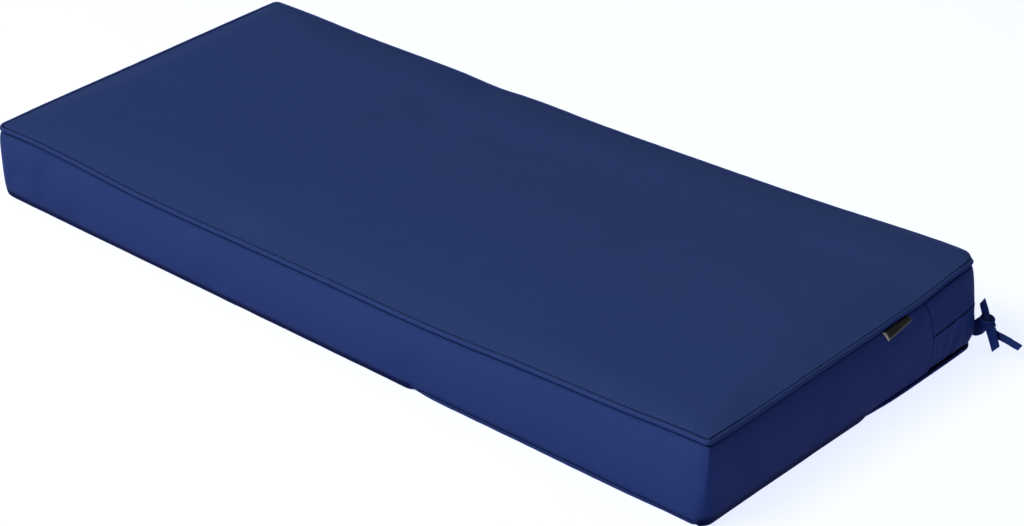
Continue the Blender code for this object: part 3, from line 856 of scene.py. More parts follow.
# The bottom panel comes down to the floor this far in from its edge
UNDERSIDE_FROM, UNDERSIDE_REACH = 8 * MM, 3 * MM
# How much of its painted shade the top seam's channel loses towards the panel: everywhere, and on the end
CHANNEL_LIT, END_CHANNEL_LIT = 0.2, 0.8


def panel_rise(seams, point, edge):
    """How far the top panel stands above a sheet stretched over its edge."""
    across = min(1.0, abs(point.y) / seams.half_y)
    along = min(1.0, abs(point.x) / seams.half_x)
    crown = seams.sizes.crown * (1 - across**FLAT_ACROSS) * (1 - along**FLAT_ALONG)
    lip = LIP_RISE * (1 - math.exp(-edge / LIP_REACH))
    return crown + lip + seams.sizes.shoulder * (1 - math.exp(-edge / SHOULDER_REACH))


def stretched_grid(seams, edges):
    """Rows of points stretched between four edges, front to rear."""
    xs = [(place + 1) / 2 for place in side_places(seams, "front")]
    ys = [(place + 1) / 2 for place in side_places(seams, "end")]
    front, end = edges["front"], edges["end"]
    rear, left = edges["rear"][::-1], edges["left"][::-1]
    rows = []
    for j, v in enumerate(ys):
        row = []
        for i, u in enumerate(xs):
            point = front[i] * (1 - v) + rear[i] * v + left[j] * (1 - u) + end[j] * u
            point -= (front[0] * (1 - u) + front[-1] * u) * (1 - v)
            point -= (rear[0] * (1 - u) + rear[-1] * u) * v
            row.append(point)
        rows.append(row)
    return rows


def ring_edges(seams, ring):
    """Splits a ring of points into its four sides, each with both its end points."""
    edges, start = {}, 0
    for side in SIDES:
        spans = len(side_places(seams, side)) - 1
        edges[side] = [ring[(start + i) % len(ring)] for i in range(spans + 1)]
        start += spans
    return edges


class Cover:
    """The padded cover: its skin, what each vertex belongs to, and the lines that are sewn."""

    def __init__(self, seams):
        self.seams = seams
        self.skin = Skin()
        self.notes = []
        self.sewn = {}

    def add_row(self, points, notes, weights, shades):
        for note, weight in zip(notes, weights):
            if weight > 0:
                self.sewn[len(self.notes)] = weight
            self.notes.append(note)
        return self.skin.row(points, shades)

    def side_rows(self):
        """Channel, boxing and channel, all the way round."""
        seams = self.seams
        places = [(side, place) for side in SIDES for place in side_places(seams, side)[:-1]]
        rows, uvs = [], []
        levels = [("low", step / CHANNEL_STEPS, 0.0) for step in range(CHANNEL_STEPS + 1)]
        levels += [("boxing", 0.0, height) for height in BOXING_ROWS]
        levels += [("high", step / CHANNEL_STEPS, 1.0) for step in range(CHANNEL_STEPS + 1)]
        for kind, share, height in levels:
            points, notes, weights, shades, uv = [], [], [], [], []
            for side, place in places:
                leaning = slanted(seams, side, place, height)
                distance = seams.distance(side, leaning)
                uv.append((distance, height * seams.sizes.seam_height))
                if kind == "boxing":
                    section = in_slit_section(seams, side, leaning, height)
                    points.append(seams.boxing(side, leaning, height, -RECESS * section))
                    notes.append(("boxing", side, leaning, height))
                    held = seams.rolled(side, leaning) if height < ROLL_HELD else 0.0
                    weights.append(1.0 if section > 0 else held)
                    # Painted shade in the boxing's crease troughs, beside its grooves and where it rolls under, and
                    # full painted shade on the recess behind the slit strips
                    folded = CREASE_SHADE * max(0.0, -self.boxing_creases(side, leaning, height)) * (1 - section)
                    shades.append(min(1.0, max(section**2, seams.shade(side, leaning, height)) + folded))
                    continue
                seam, outward = (seams.bottom if kind == "low" else seams.top)(side, leaning)
                lip = seams.bottom_lip(side, leaning)
                first, last = (BOTTOM_PANEL_LIP, lip) if kind == "low" else (TOP_LIP, seams.panel_lip(outward))
                points.append(seams.round_seam(seam, outward, first + (last - first) * share))
                notes.append(("channel", side, leaning, height))
                weights.append(1.0)
                # Painted shade fills the channels; on the top seam it lightens towards the panel
                lit = CHANNEL_LIT + END_CHANNEL_LIT * facing_end(outward) if kind == "high" else 0.0
                shades.append(1.0 - share * lit)
            uv.append((seams.perimeter, uv[0][1]))
            rows.append(self.add_row(points, notes, weights, shades))
            uvs.append(uv)
        self.skin.weave(rows, uvs, closed=True)
        return rows

    def panel(self, ring, kind):
        """The top or the bottom panel, stretched over the ring of its lip."""
        seams = self.seams
        edges = ring_edges(seams, ring)
        grid = stretched_grid(seams, {side: [v.co.copy() for v in edge] for side, edge in edges.items()})
        width, depth = len(grid[0]) - 1, len(grid) - 1
        from_ends = [(1 - abs(place)) * seams.half_x for place in side_places(seams, "front")]
        from_sides = [(1 - abs(place)) * seams.half_y for place in side_places(seams, "end")]
        rows, uvs = [], []
        for j, points in enumerate(grid):
            row, uv = [], []
            for i, point in enumerate(points):
                edge = min(from_ends[i], from_sides[j])
                uv.append((point.x, point.y))
                if j == 0:
                    row.append(edges["front"][i])
                elif j == depth:
                    row.append(edges["rear"][width - i])
                elif i == 0:
                    row.append(edges["left"][depth - j])
                elif i == width:
                    row.append(edges["end"][j])
                else:
                    if kind == "top":
                        point.z += panel_rise(seams, point, edge)
                    else:
                        point.z *= math.exp(-max(0.0, edge - UNDERSIDE_FROM) / UNDERSIDE_REACH)
                    # Painted shade beside the front and rear seams
                    shade = PANEL_EDGE_SHADE if edge == from_sides[j] else 0.0
                    shade *= math.exp(-edge / PANEL_SHADE_REACH)
                    row += self.add_row([point], [(kind, None, point.x, point.y)], [float(kind == "bottom")], [shade])
            rows.append(row)
            uvs.append(uv)
        self.skin.weave(rows, uvs)

    def make(self):
        rows = self.side_rows()
        self.panel(rows[0], "bottom")
        self.panel(rows[-1], "top")
        return self.skin.finish("padded_cover")

    def boxing_creases(self, side, place, height):
        """Height of the boxing's creases at a place, in millimetres."""
        here = Vector((place * self.seams.half(side), height * self.seams.sizes.seam_height))
        total = 0.0
        for name, along, up, to_along, to_up, width, depth in BOXING_CREASES:
            if name == side:
                total += crease(here, Vector((along, up)) * MM, Vector((to_along, to_up)) * MM, width * MM, depth)
        return total

    def panel_creases(self, x, y):
        total = 0.0
        for start_x, start_y, to_x, to_y, width, depth in PANEL_CREASES:
            start, end = Vector((start_x, start_y)) * MM, Vector((to_x, to_y)) * MM
            total += crease(Vector((x, y)), start, end, width * MM, depth)
        return total

    def relief(self, note):
        """Creases and puckers at a vertex, in metres along its normal."""
        seams = self.seams
        kind, side, first, second = note
        total = 0.0
        if kind == "boxing":
            if in_slit_section(seams, side, first, second) > 0:
                return 0.0
            total += self.boxing_creases(side, first, second)
            distance = seams.distance(side, first)
            total += seam_pucker(distance, (1 - second) * seams.sizes.seam_height, BOXING_PUCKER)
            total += seam_pucker(distance + 5.0, second * seams.sizes.seam_height, BOXING_PUCKER)
        if kind == "top":
            total += self.panel_creases(first, second)
            edge = min(seams.half_y - abs(second), seams.half_x - abs(first))
            total += seam_pucker(first * 1.3 + second * 1.7 + 9.0, max(0.0, edge), PANEL_PUCKER)
            total += PANEL_UNEVEN * noise.noise(Vector((first * 9.0, second * 9.0, 2.0)))
        return total * MM

    def crease_skin(self, piece):
        normals = [vertex.normal.copy() for vertex in piece.data.vertices]
        for vertex, normal, note in zip(piece.data.vertices, normals, self.notes):
            vertex.co += normal * self.relief(note)


PIPING_STEP = 4 * MM
PIPING_SIDES = 16
PIPING_REST = 0.25 * MM
# Where each piping's ends lap, and its small forms in metres
JOIN_PLACE = 0.015
LAP_LENGTH, LAP_RISE = 14 * MM, 0.22 * MM
JOIN_DIP, JOIN_WIDTH = 0.45 * MM, 2.2 * MM
WRINKLE, FINE_WRINKLE = 0.16 * MM, 0.08 * MM
# Painted shade on a piping in its groove, beside the panel and near the floor, with how far that reaches
SUNK_SHADE, PANEL_SIDE_SHADE, FLOOR_SHADE = 0.95, 0.5, 0.9
SUNK_REACH, FLOOR_REACH = 0.8 * MM, 2.2 * MM
PANEL_SIDE = -0.3


def seam_path(seams, step):
    """Places at even steps round a whole seam."""
    path = []
    for side in SIDES:
        count = round(2 * seams.half(side) / step)
        path += [(side, 2 * i / count - 1) for i in range(count)]
    return path


def sunk_shade(angle, first, last, radius, on_end):
    """Painted shade on a piping at an angle, near the part of it from first to last that lies in its groove."""
    turned = (angle - (first + last) / 2 + math.pi) % (2 * math.pi) - math.pi
    away = max(0.0, abs(turned) - abs(last - first) / 2) * radius
    dark = PANEL_SIDE_SHADE * (1 - on_end) if math.cos(angle) < PANEL_SIDE else SUNK_SHADE
    return dark * math.exp(-away / SUNK_REACH)


def welt(seams, name, route, sunk, join, seed):
    """A covered cord round a whole seam: bias canvas with small puckers, a lapped join, and painted shade beside its
    grooves and near the floor.
    """
    skin = Skin()
    radius = seams.sizes.piping_radius
    rows, uvs = [], []
    for side, place in seam_path(seams, PIPING_STEP):
        seam, outward = route(side, place)
        distance = seams.distance(side, place)
        from_join = distance - join
        lap = LAP_RISE if 0 < from_join < LAP_LENGTH else 0.0
        groove = -JOIN_DIP * math.exp(-((from_join / JOIN_WIDTH) ** 2))
        points, shades, uv = [], [], []
        for k in range(PIPING_SIDES):
            angle = 2 * math.pi * k / PIPING_SIDES
            spot = Vector((distance * 70.0, angle * 0.8, seed))
            wrinkle = noise.noise(spot) * WRINKLE + noise.noise(spot * 2.7) * FINE_WRINKLE
            way = outward * math.cos(angle) + UP * math.sin(angle)
            point = seam + way * (radius + wrinkle + lap + groove)
            point.z = max(point.z, PIPING_REST)
            points.append(point)
            # Painted shade beside the groove and near the floor
            shade = sunk_shade(angle, *sunk(side, place), radius, facing_end(outward))
            shade += FLOOR_SHADE * math.exp(-point.z / FLOOR_REACH)
            shades.append(min(1.0, shade))
            uv.append((distance, angle * radius))
        uv.append((distance, 2 * math.pi * radius))
        rows.append(skin.row(points, shades))
        uvs.append(uv)
    rows.append(rows[0])
    uvs.append([(seams.perimeter, around) for _, around in uvs[0]])
    skin.weave(rows, uvs, closed=True)
    return skin.finish(name)


def slit_columns(seams, step):
    """(side, place) along the slit strips, from the right-hand upright seam to the left-hand one."""
    seam = slit_seam_y(0.5)
    near = (0.4 * MM, 1.2 * MM, 2.5 * MM, 4.5 * MM, 8 * MM)
    straight = seams.half_y - seams.sizes.corner_radius
    count = round((straight - seam - near[-1]) / step)
    even = [near[-1] + (straight - seam - near[-1]) * i / count for i in range(1, count + 1)]
    corner = [seams.sizes.corner_radius * k / 4 for k in range(1, 5)]
    ys = [seam + offset for offset in near + tuple(even)] + [straight + part for part in corner]
    run = [("end", y / seams.half_y) for y in ys[:-1]]
    spans = round(2 * (seams.half_x - seams.sizes.corner_radius) / step)
    flat = (seams.half_x - seams.sizes.corner_radius) / seams.half_x
    rear = [flat * (2 * i / spans - 1) for i in range(spans + 1)]
    turns = [(seams.half_x - seams.sizes.corner_radius * (1 - k / 4)) / seams.half_x for k in range(1, 5)]
    run += [("rear", -place) for place in reversed(turns)] + [("rear", place) for place in rear]
    run += [("rear", place) for place in turns[:-1]]
    return run + [("left", -y / seams.half_y) for y in reversed(ys)]


def slit_climb(seams, side, place):
    """0 at the upright seams and 1 behind, where the slit stands higher."""
    seam = slit_seam_y(0.5)
    if side == "rear":
        return 1.0
    y = abs(place) * seams.half_y
    return max(0.0, (y - seam) / (seams.half_y - seam)) ** 2


def slit_row_height(seams, side, place, height):
    slit = seams.sizes.slit_height
    share = height / slit if height < slit else (1 - height) / (1 - slit)
    return height + SLIT_LIFT * slit_climb(seams, side, place) * share


STRIP_CAUGHT = 4 * MM
STRIP_LIP = 0.10


def edge_taper(seams, side, place):
    """Strips are flat where they are caught in an upright seam and full a little further on."""
    past = abs(place) * seams.half_y - slit_seam_y(0.5) if side != "rear" else 1.0
    return 1 - math.exp(-max(0.0, past) / STRIP_CAUGHT)


def flap_proud(height, slit, along):
    """How far the flap's outer face stands off the boxing's line."""
    near_slit = math.exp(-(height - slit) / STRIP_LIP)
    wave = noise.noise(Vector((along * 28.0, height * 2.0, 4.0)))
    return (0.1 + 0.2 * near_slit + 0.8 * wave * (1 - 0.8 * near_slit)) * MM


# Upright folds of the lower strip on the right-hand end, in millimetres: "along" is the distance from
# the middle of the end, and "lean" how far the fold leans from upright over the boxing's height.
LOWER_FOLDS = [
    # along, lean, width, height
    (148, 0, 3.2, -1.2),
    (155, 0, 4.0, 1.0),
    (161, 6, 3.0, -1.8),
    (168, 8, 4.0, 2.0),
    (184, 16, 4.5, -2.4),
    (194, 18, 4.0, 2.2),
    (203, 16, 4.0, -1.4),
    (213, 10, 5.0, 1.0),
]


def lower_proud(height, slit, along, end_middle):
    """How far the lower strip's outer face stands off, with its soft upright folds."""
    upright = math.sin(math.pi * min(1.0, height / slit)) ** 0.7
    folds = 0.8 * noise.noise(Vector(((along + height * 0.030) * 44.0, height * 1.2, 1.5)))
    for spot, lean, width, size in LOWER_FOLDS:
        away = along - end_middle - (spot + lean * (height - 0.3)) * MM
        folds += size * math.exp(-((away / (width * MM)) ** 2))
    return (-0.9 + 1.8 * math.exp(-(slit - height) / STRIP_LIP) + folds * upright) * MM


# The strips' rows, as shares of the boxing's height: the flap's from the slit up, the lower strip's
# from the bottom seam
FLAP_HEIGHTS = (0.002, 0.012, 0.035, 0.08, 0.15, 0.25, 0.34, 0.41, 0.455, 0.48, 0.494)
LOWER_HEIGHTS = (0.030, 0.055, 0.09, 0.14, 0.20, 0.27, 0.34, 0.40, 0.44, 0.466, 0.478)
# How much wider the lower strip is cut than the height it covers, for its bulge and its turned top
CLOTH = 1.1 * MM
STRIP_STEP = 7.5 * MM
# Painted shade where the strips are caught in the upright seam; how far they sink there, and the share of their cloth
# left
CAUGHT_SHADE, CAUGHT_SINK, CAUGHT_CLOTH = 0.12, 0.15 * MM, 0.35


def slit_strip(seams, name, heights, proud):
    """A closed strip of cloth along the whole slit: outer face, rounded edge, inner face."""
    skin = Skin()
    loops, uvs = [], []
    for side, place in slit_columns(seams, STRIP_STEP):
        along = seams.distance(side, place)
        taper = edge_taper(seams, side, place)
        outer, inner, uv_outer, uv_inner, shades = [], [], [], [], []
        for height in heights:
            leaning = slanted(seams, side, place, height)
            level = slit_row_height(seams, side, leaning, height)
            stand = proud(height, along) * taper - CAUGHT_SINK * (1 - taper)
            thick = CLOTH * (CAUGHT_CLOTH + (1 - CAUGHT_CLOTH) * taper)
            outer.append(seams.boxing(side, leaning, level, stand))
            inner.append(seams.boxing(side, leaning, level, stand - thick))
            # Painted shade beside the grooves and where the strip is caught in the upright seam
            shades.append(max(seams.shade(side, leaning, level), CAUGHT_SHADE * (1 - taper)))
            uv_outer.append((along, height * seams.sizes.seam_height))
            uv_inner.append((along, (1 - height) * seams.sizes.seam_height))
        low_fold = (outer[0] + inner[0]) / 2 - UP * CLOTH * 0.45
        high_fold = (outer[-1] + inner[-1]) / 2 + UP * CLOTH * 0.3
        # Full painted shade on the rounded low edge and the inner face
        shades += [shades[-1]] + [1.0] * (len(inner) + 1)
        loops.append(skin.row(outer + [high_fold] + inner[::-1] + [low_fold], shades))
        high_uv = (along, uv_outer[-1][1] + CLOTH)
        low_uv = (along, uv_outer[0][1] - CLOTH)
        uvs.append(uv_outer + [high_uv] + uv_inner[::-1] + [low_uv, uv_outer[0]])
    skin.weave(loops, uvs, closed=True)
    for loop, uv in ((loops[0], uvs[0]), (loops[-1], uvs[-1])):
        last = len(loop) - 2
        middle = last // 2
        for i in range(middle - 1):
            j = last - i
            skin.face((loop[i], loop[i + 1], loop[j - 1], loop[j]), (uv[i], uv[i + 1], uv[j - 1], uv[j]))
        skin.face(loop[middle - 1 : middle + 2], uv[middle - 1 : middle + 2])
        skin.face((loop[last + 1], loop[0], loop[last]), (uv[0], uv[0], uv[0]))
    strip = skin.finish(name)
    subdivide_once(strip)
    return strip


def smooth_stops(stops, steps):
    """Reads a strap's stops along a smooth curve: centre, way across, width and slant."""
    flat = [list(centre) + list(across) + [width, slant] for centre, across, width, slant in stops]
    out = []
    for i in range(len(flat) - 1):
        before, here = flat[max(i - 1, 0)], flat[i]
        there, after = flat[i + 1], flat[min(i + 2, len(flat) - 1)]
        for k in range(steps + (i == len(flat) - 2)):
            t = k / steps
            row = []
            for a, b, c, d in zip(before, here, there, after):
                row.append(
                    0.5 * (2 * b + (c - a) * t + (2 * a - 5 * b + 4 * c - d) * t**2 + (3 * b - a - 3 * c + d) * t**3)
                )
            out.append((Vector(row[:3]), Vector(row[3:6]).normalized(), row[6], row[7]))
    return out


STRAP_STEPS, STRAP_SIDES = 6, 16
# A strap's section: how square it is across and through, and its hem line, as shares of its half width
STRAP_SQUARE, STRAP_THICK = 0.45, 0.7
HEM_PLACE, HEM_WIDTH, HEM_DEPTH = 0.72, 0.08, 0.22
# Painted shade along a strap's edges, and how far in it reaches
STRAP_EDGE_SHADE, STRAP_SHADE_REACH = 0.6, 0.5 * MM
STRAP_REST, STRAP_RIPPLE = 0.5 * MM, 0.5 * MM
BACK_UV = 0.03


def signed_power(value, power):
    return math.copysign(abs(value) ** power, value)


def strap(name, stops, thickness, cup, seed):
    """A folded strap: flat, with round edges, a pressed hem line, a slightly slanted cut end and painted shade along
    its edges.
    """
    skin = Skin()
    read = smooth_stops(stops, STRAP_STEPS)
    rows, uvs = [], []
    distance = 0.0
    length = sum((b[0] - a[0]).length for a, b in zip(read, read[1:]))
    for index, (centre, across, width, slant) in enumerate(read):
        before, after = read[max(index - 1, 0)][0], read[min(index + 1, len(read) - 1)][0]
        ahead = (after - before).normalized()
        if index:
            distance += (centre - read[index - 1][0]).length
        side = (across - ahead * across.dot(ahead)).normalized()
        face = ahead.cross(side)
        points, shades, uv = [], [], []
        lean = slant * (distance / length) ** 3
        for k in range(STRAP_SIDES):
            angle = 2 * math.pi * k / STRAP_SIDES
            wide = signed_power(math.cos(angle), STRAP_SQUARE)
            thick = signed_power(math.sin(angle), STRAP_THICK)
            ripple = noise.noise(Vector((distance * 160.0, wide * 0.9, seed))) * STRAP_RIPPLE
            hem = 1 - HEM_DEPTH * math.exp(-((abs(wide) - HEM_PLACE) / HEM_WIDTH) ** 2)
            point = centre + side * wide * width / 2 + face * thick * hem * thickness / 2
            point += face * (ripple + cup * (wide**2 - 0.5)) + ahead * wide * lean / 2
            point.z = max(point.z, STRAP_REST)
            points.append(point)
            # Painted shade along the edges
            shades.append(STRAP_EDGE_SHADE * math.exp(-(1 - abs(wide)) * width / 2 / STRAP_SHADE_REACH))
            uv.append((distance, wide * width / 2 + (BACK_UV if thick < 0 else 0.0)))
        uv.append(uv[0])
        rows.append(skin.row(points, shades))
        uvs.append(uv)
    skin.weave(rows, uvs, closed=True)
    skin.cap(rows, uvs)
    return skin.finish(name), length


KNOT_CENTRE = Vector((0.5393, 0.2280, 0.0336))
KNOT_RADII = Vector((0.0056, 0.0046, 0.0088))
KNOT_LEAN = math.radians(-20)
KNOT_VOXEL = 0.55 * MM
KNOT_SOFTEN, KNOT_SOFTEN_ROUNDS = 0.5, 2
# How strongly painted shade darkens the knot's hollows
HOLLOW_GAIN = 12.0
WRAP_STEPS, WRAP_SIDES = 40, 10
WRAP_SQUARE, WRAP_THICK, WRAP_SAG = 0.5, 0.9 * MM, 0.10
# The knot's wraps: how far up it each lies, its tilt, its girth beyond the core and its width
KNOT_WRAPS = [
    # height, tilt x, tilt y, girth, width
    (0.0034, 8, 26, 0.0020, 0.0062),
    (-0.0044, -14, -20, 0.0017, 0.0064),
    (0.0000, 70, 30, 0.0014, 0.0060),
]


def wrap_ring(bm, height, tilt_x, tilt_y, girth, width):
    """One turn of strap round the knot, as a flat closed band."""
    turn = Matrix.Rotation(math.radians(tilt_x), 3, "X") @ Matrix.Rotation(math.radians(tilt_y), 3, "Y")
    rings = []
    for i in range(WRAP_STEPS):
        angle = 2 * math.pi * i / WRAP_STEPS
        way = Vector((math.cos(angle), math.sin(angle), 0))
        reach = Vector((way.x * (KNOT_RADII.x + girth), way.y * (KNOT_RADII.y + girth), 0))
        ring = []
        for k in range(WRAP_SIDES):
            round_band = 2 * math.pi * k / WRAP_SIDES
            flat = signed_power(math.cos(round_band), WRAP_SQUARE) * width / 2
            sag = way * (math.sin(round_band) * WRAP_THICK - WRAP_SAG * abs(flat))
            ring.append(bm.verts.new(turn @ (reach + sag + Vector((0, 0, height + flat)))))
        rings.append(ring)
    for i, ring in enumerate(rings):
        after = rings[(i + 1) % WRAP_STEPS]
        for k in range(WRAP_SIDES):
            j = (k + 1) % WRAP_SIDES
            bm.faces.new((ring[k], ring[j], after[j], after[k]))


def make_knot(name):
    """A tight knot: a core and three flat turns, fused and softened, with painted shade in its hollows."""
    bm = bmesh.new()
    bmesh.ops.create_uvsphere(bm, u_segments=24, v_segments=16, radius=1.0)
    for vert in bm.verts:
        vert.co = Vector((a * b for a, b in zip(vert.co, KNOT_RADII)))
    for row in KNOT_WRAPS:
        wrap_ring(bm, *row)
    bmesh.ops.recalc_face_normals(bm, faces=bm.faces)
    lean = Matrix.Translation(KNOT_CENTRE) @ Matrix.Rotation(KNOT_LEAN, 4, "Y")
    bmesh.ops.transform(bm, matrix=lean, verts=bm.verts)
    knot = link_mesh(name, bm)
    fuse = knot.modifiers.new("fuse", "REMESH")
    fuse.mode = "VOXEL"
    fuse.voxel_size = KNOT_VOXEL
    soften = knot.modifiers.new("soften", "SMOOTH")
    soften.factor = KNOT_SOFTEN
    soften.iterations = KNOT_SOFTEN_ROUNDS
    as_plain_mesh(knot)
    knot.data.shade_smooth()
    shade_hollows(knot.data)
    return knot


def shade_hollows(mesh):
    """Paints shade into a mesh where its surface is hollow."""
    bm = bmesh.new()
    bm.from_mesh(mesh)
    bm.normal_update()
    shades = []
    for vert in bm.verts:
        lean = sum((edge.other_vert(vert).co - vert.co).normalized().dot(vert.normal) for edge in vert.link_edges)
        shades.append(min(1.0, max(0.0, lean / len(vert.link_edges) * HOLLOW_GAIN)))
    bm.free()
    store_shades(mesh, shades)


# The tab: from and to along the end, how far it stands out at each, its cloth and its pale edges
LABEL_FROM, LABEL_TO = 48.5 * MM, 92.1 * MM
LABEL_REACH_LEFT, LABEL_REACH_RIGHT = 10.4 * MM, 7.0 * MM
LABEL_LAYER = 0.45 * MM
LABEL_EDGE, LABEL_END = 0.5 * MM, 1.6 * MM
LABEL_COLUMNS, LABEL_ROWS = 26, 8
LABEL_HALF_GAP, LABEL_FOLD, LABEL_PUFF, LABEL_WAVE = 0.28 * MM, 0.30 * MM, 0.42 * MM, 0.25 * MM
LABEL_ROOT_OUT, LABEL_ROOT_DOWN = 1.6 * MM, 0.5 * MM
LABEL_DROOP_LEFT, LABEL_DROOP_RIGHT = math.radians(38), math.radians(22)


def folded_tab(seams, name):
    """A short length of tape folded in half, its two ends caught under the top piping."""
    skin = Skin()
    rows, uvs = [], []
    for i in range(LABEL_COLUMNS + 1):
        t = i / LABEL_COLUMNS
        place = (LABEL_FROM + (LABEL_TO - LABEL_FROM) * t) / seams.half_y
        seam, outward = seams.top("end", place)
        root = seam + outward * LABEL_ROOT_OUT - UP * (seams.channel + LABEL_ROOT_DOWN)
        droop = LABEL_DROOP_LEFT + (LABEL_DROOP_RIGHT - LABEL_DROOP_LEFT) * t
        reach = LABEL_REACH_LEFT + (LABEL_REACH_RIGHT - LABEL_REACH_LEFT) * t
        wave = LABEL_WAVE * math.sin(3.3 * math.pi * t + 0.6)
        centre = []
        for k in range(LABEL_ROWS):
            s = reach * k / (LABEL_ROWS - 1)
            centre.append((s, LABEL_PUFF * math.sin(math.pi * min(1.0, s / reach)) + LABEL_HALF_GAP))
        fold = [(reach + LABEL_FOLD * math.sin(a), LABEL_HALF_GAP * math.cos(a)) for a in (0.8, 1.57, 2.34)]
        path = centre + fold + [(s, -LABEL_HALF_GAP) for s, _ in reversed(centre)]
        outer, inner = [], []
        for j, (s, lift) in enumerate(path):
            ahead = Vector(path[min(j + 1, len(path) - 1)]) - Vector(path[max(j - 1, 0)])
            normal = Vector((-ahead.y, ahead.x)).normalized() * LABEL_LAYER / 2
            outer.append(Vector((s, lift)) + normal)
            inner.append(Vector((s, lift)) - normal * 0.9)
        points, shades, uv = [], [], []
        for local in outer + inner[::-1]:
            angle = droop * (0.55 + 0.45 * max(0.0, local.x) / reach)
            hang = outward * math.cos(angle) - UP * math.sin(angle)
            over = outward * math.sin(angle) + UP * math.cos(angle)
            points.append(root + hang * local.x + over * (local.y + wave * local.x / reach))
            uv.append((t * (LABEL_TO - LABEL_FROM), local.x))
            long_edge = max(0.0, min((1 - t) * (LABEL_TO - LABEL_FROM), reach - local.x))
            short_edge = t * (LABEL_TO - LABEL_FROM)
            pale = math.exp(-((short_edge / LABEL_END) ** 2)) + 0.3 * math.exp(-long_edge / LABEL_EDGE)
            shades.append(min(1.0, pale))
        uv.append(uv[0])
        rows.append(skin.row(points, shades))
        uvs.append(uv)
    skin.weave(rows, uvs, closed=True)
    skin.cap(rows, uvs)
    return skin.finish(name)


def stitch_tree():
    """Geometry Nodes that lay small thread beads at an even pitch along a path."""
    tree = bpy.data.node_groups.new("run of stitches", "GeometryNodeTree")
    face = tree.interface
    face.new_socket("Path", in_out="INPUT", socket_type="NodeSocketGeometry")
    for name in ("Pitch", "Stitch Length", "Thread Width"):
        face.new_socket(name, in_out="INPUT", socket_type="NodeSocketFloat")
    face.new_socket("Thread", in_out="INPUT", socket_type="NodeSocketMaterial")
    face.new_socket("Stitches", in_out="OUTPUT", socket_type="NodeSocketGeometry")

    def node(kind, settings=None, inputs=None):
        made = tree.nodes.new(kind)
        for key, value in (settings or {}).items():
            setattr(made, key, value)
        for key, source in (inputs or {}).items():
            if isinstance(source, bpy.types.NodeSocket):
                tree.links.new(source, made.inputs[key])
            else:
                made.inputs[key].default_value = source
        return made

    given = node("NodeGroupInput").outputs
    path = node("GeometryNodeMeshToCurve", None, {"Mesh": given["Path"]})
    even = node("GeometryNodeResampleCurve", {"mode": "LENGTH"},
                {"Curve": path.outputs["Curve"], "Length": given["Pitch"]})
    bead = node("GeometryNodeMeshUVSphere", None, {"Segments": 6, "Rings": 4, "Radius": 0.5})
    scale = node("ShaderNodeCombineXYZ", None,
                 {"X": given["Stitch Length"], "Y": given["Thread Width"], "Z": given["Thread Width"]})
    shaped = node("GeometryNodeTransform", None,
                  {"Geometry": bead.outputs["Mesh"], "Scale": scale.outputs["Vector"]})
    tangent = node("GeometryNodeInputTangent")
    turned = node("FunctionNodeAlignRotationToVector", {"axis": "X"}, {"Vector": tangent.outputs["Tangent"]})
    laid = node("GeometryNodeInstanceOnPoints", None, {
        "Points": even.outputs["Curve"],
        "Instance": shaped.outputs["Geometry"],
        "Rotation": turned.outputs["Rotation"],
    })
    real = node("GeometryNodeRealizeInstances", None, {"Geometry": laid.outputs["Instances"]})
    coloured = node("GeometryNodeSetMaterial", None,
                    {"Geometry": real.outputs["Geometry"], "Material": given["Thread"]})
    node("NodeGroupOutput", None, {"Stitches": coloured.outputs["Geometry"]})
    return tree


STITCH_PITCH, STITCH_LENGTH, THREAD_WIDTH = 3.4 * MM, 2.6 * MM, 0.45 * MM
STITCH_HEIGHT, STITCH_SINK = 0.055, 0.05 * MM


def run_stitches(name, tree, points, finish):
    """A piece made of one row of stitches."""
    bm = bmesh.new()
    row = [bm.verts.new(point) for point in points]
    for first, second in zip(row, row[1:]):
        bm.edges.new((first, second))
    piece = link_mesh(name, bm)
    modifier = piece.modifiers.new("stitches", "NODES")
    modifier.node_group = tree
    values = {"Pitch": STITCH_PITCH, "Stitch Length": STITCH_LENGTH, "Thread Width": THREAD_WIDTH, "Thread": finish}
    for item in tree.interface.items_tree:
        if item.in_out == "INPUT" and item.name in values:
            modifier[item.identifier] = values[item.name]
    as_plain_mesh(piece)
    piece.data.shade_smooth()
    return piece


def current_seams(context):
    return Seams(context.scene.cushion_sizes)


FLOOR_SIZE, FLOOR_GREY, FLOOR_GAIN = 9.0, 0.15, 1.1
SENSOR_WIDTH = 36.0
# The softboxes' places and sizes, in metres
KEY_BOX = ((-1.6, -3.5, 4.6), (3.6, 2.8))
TOP_BOX = ((0.6, 0.4, 5.0), (3.0, 3.0))


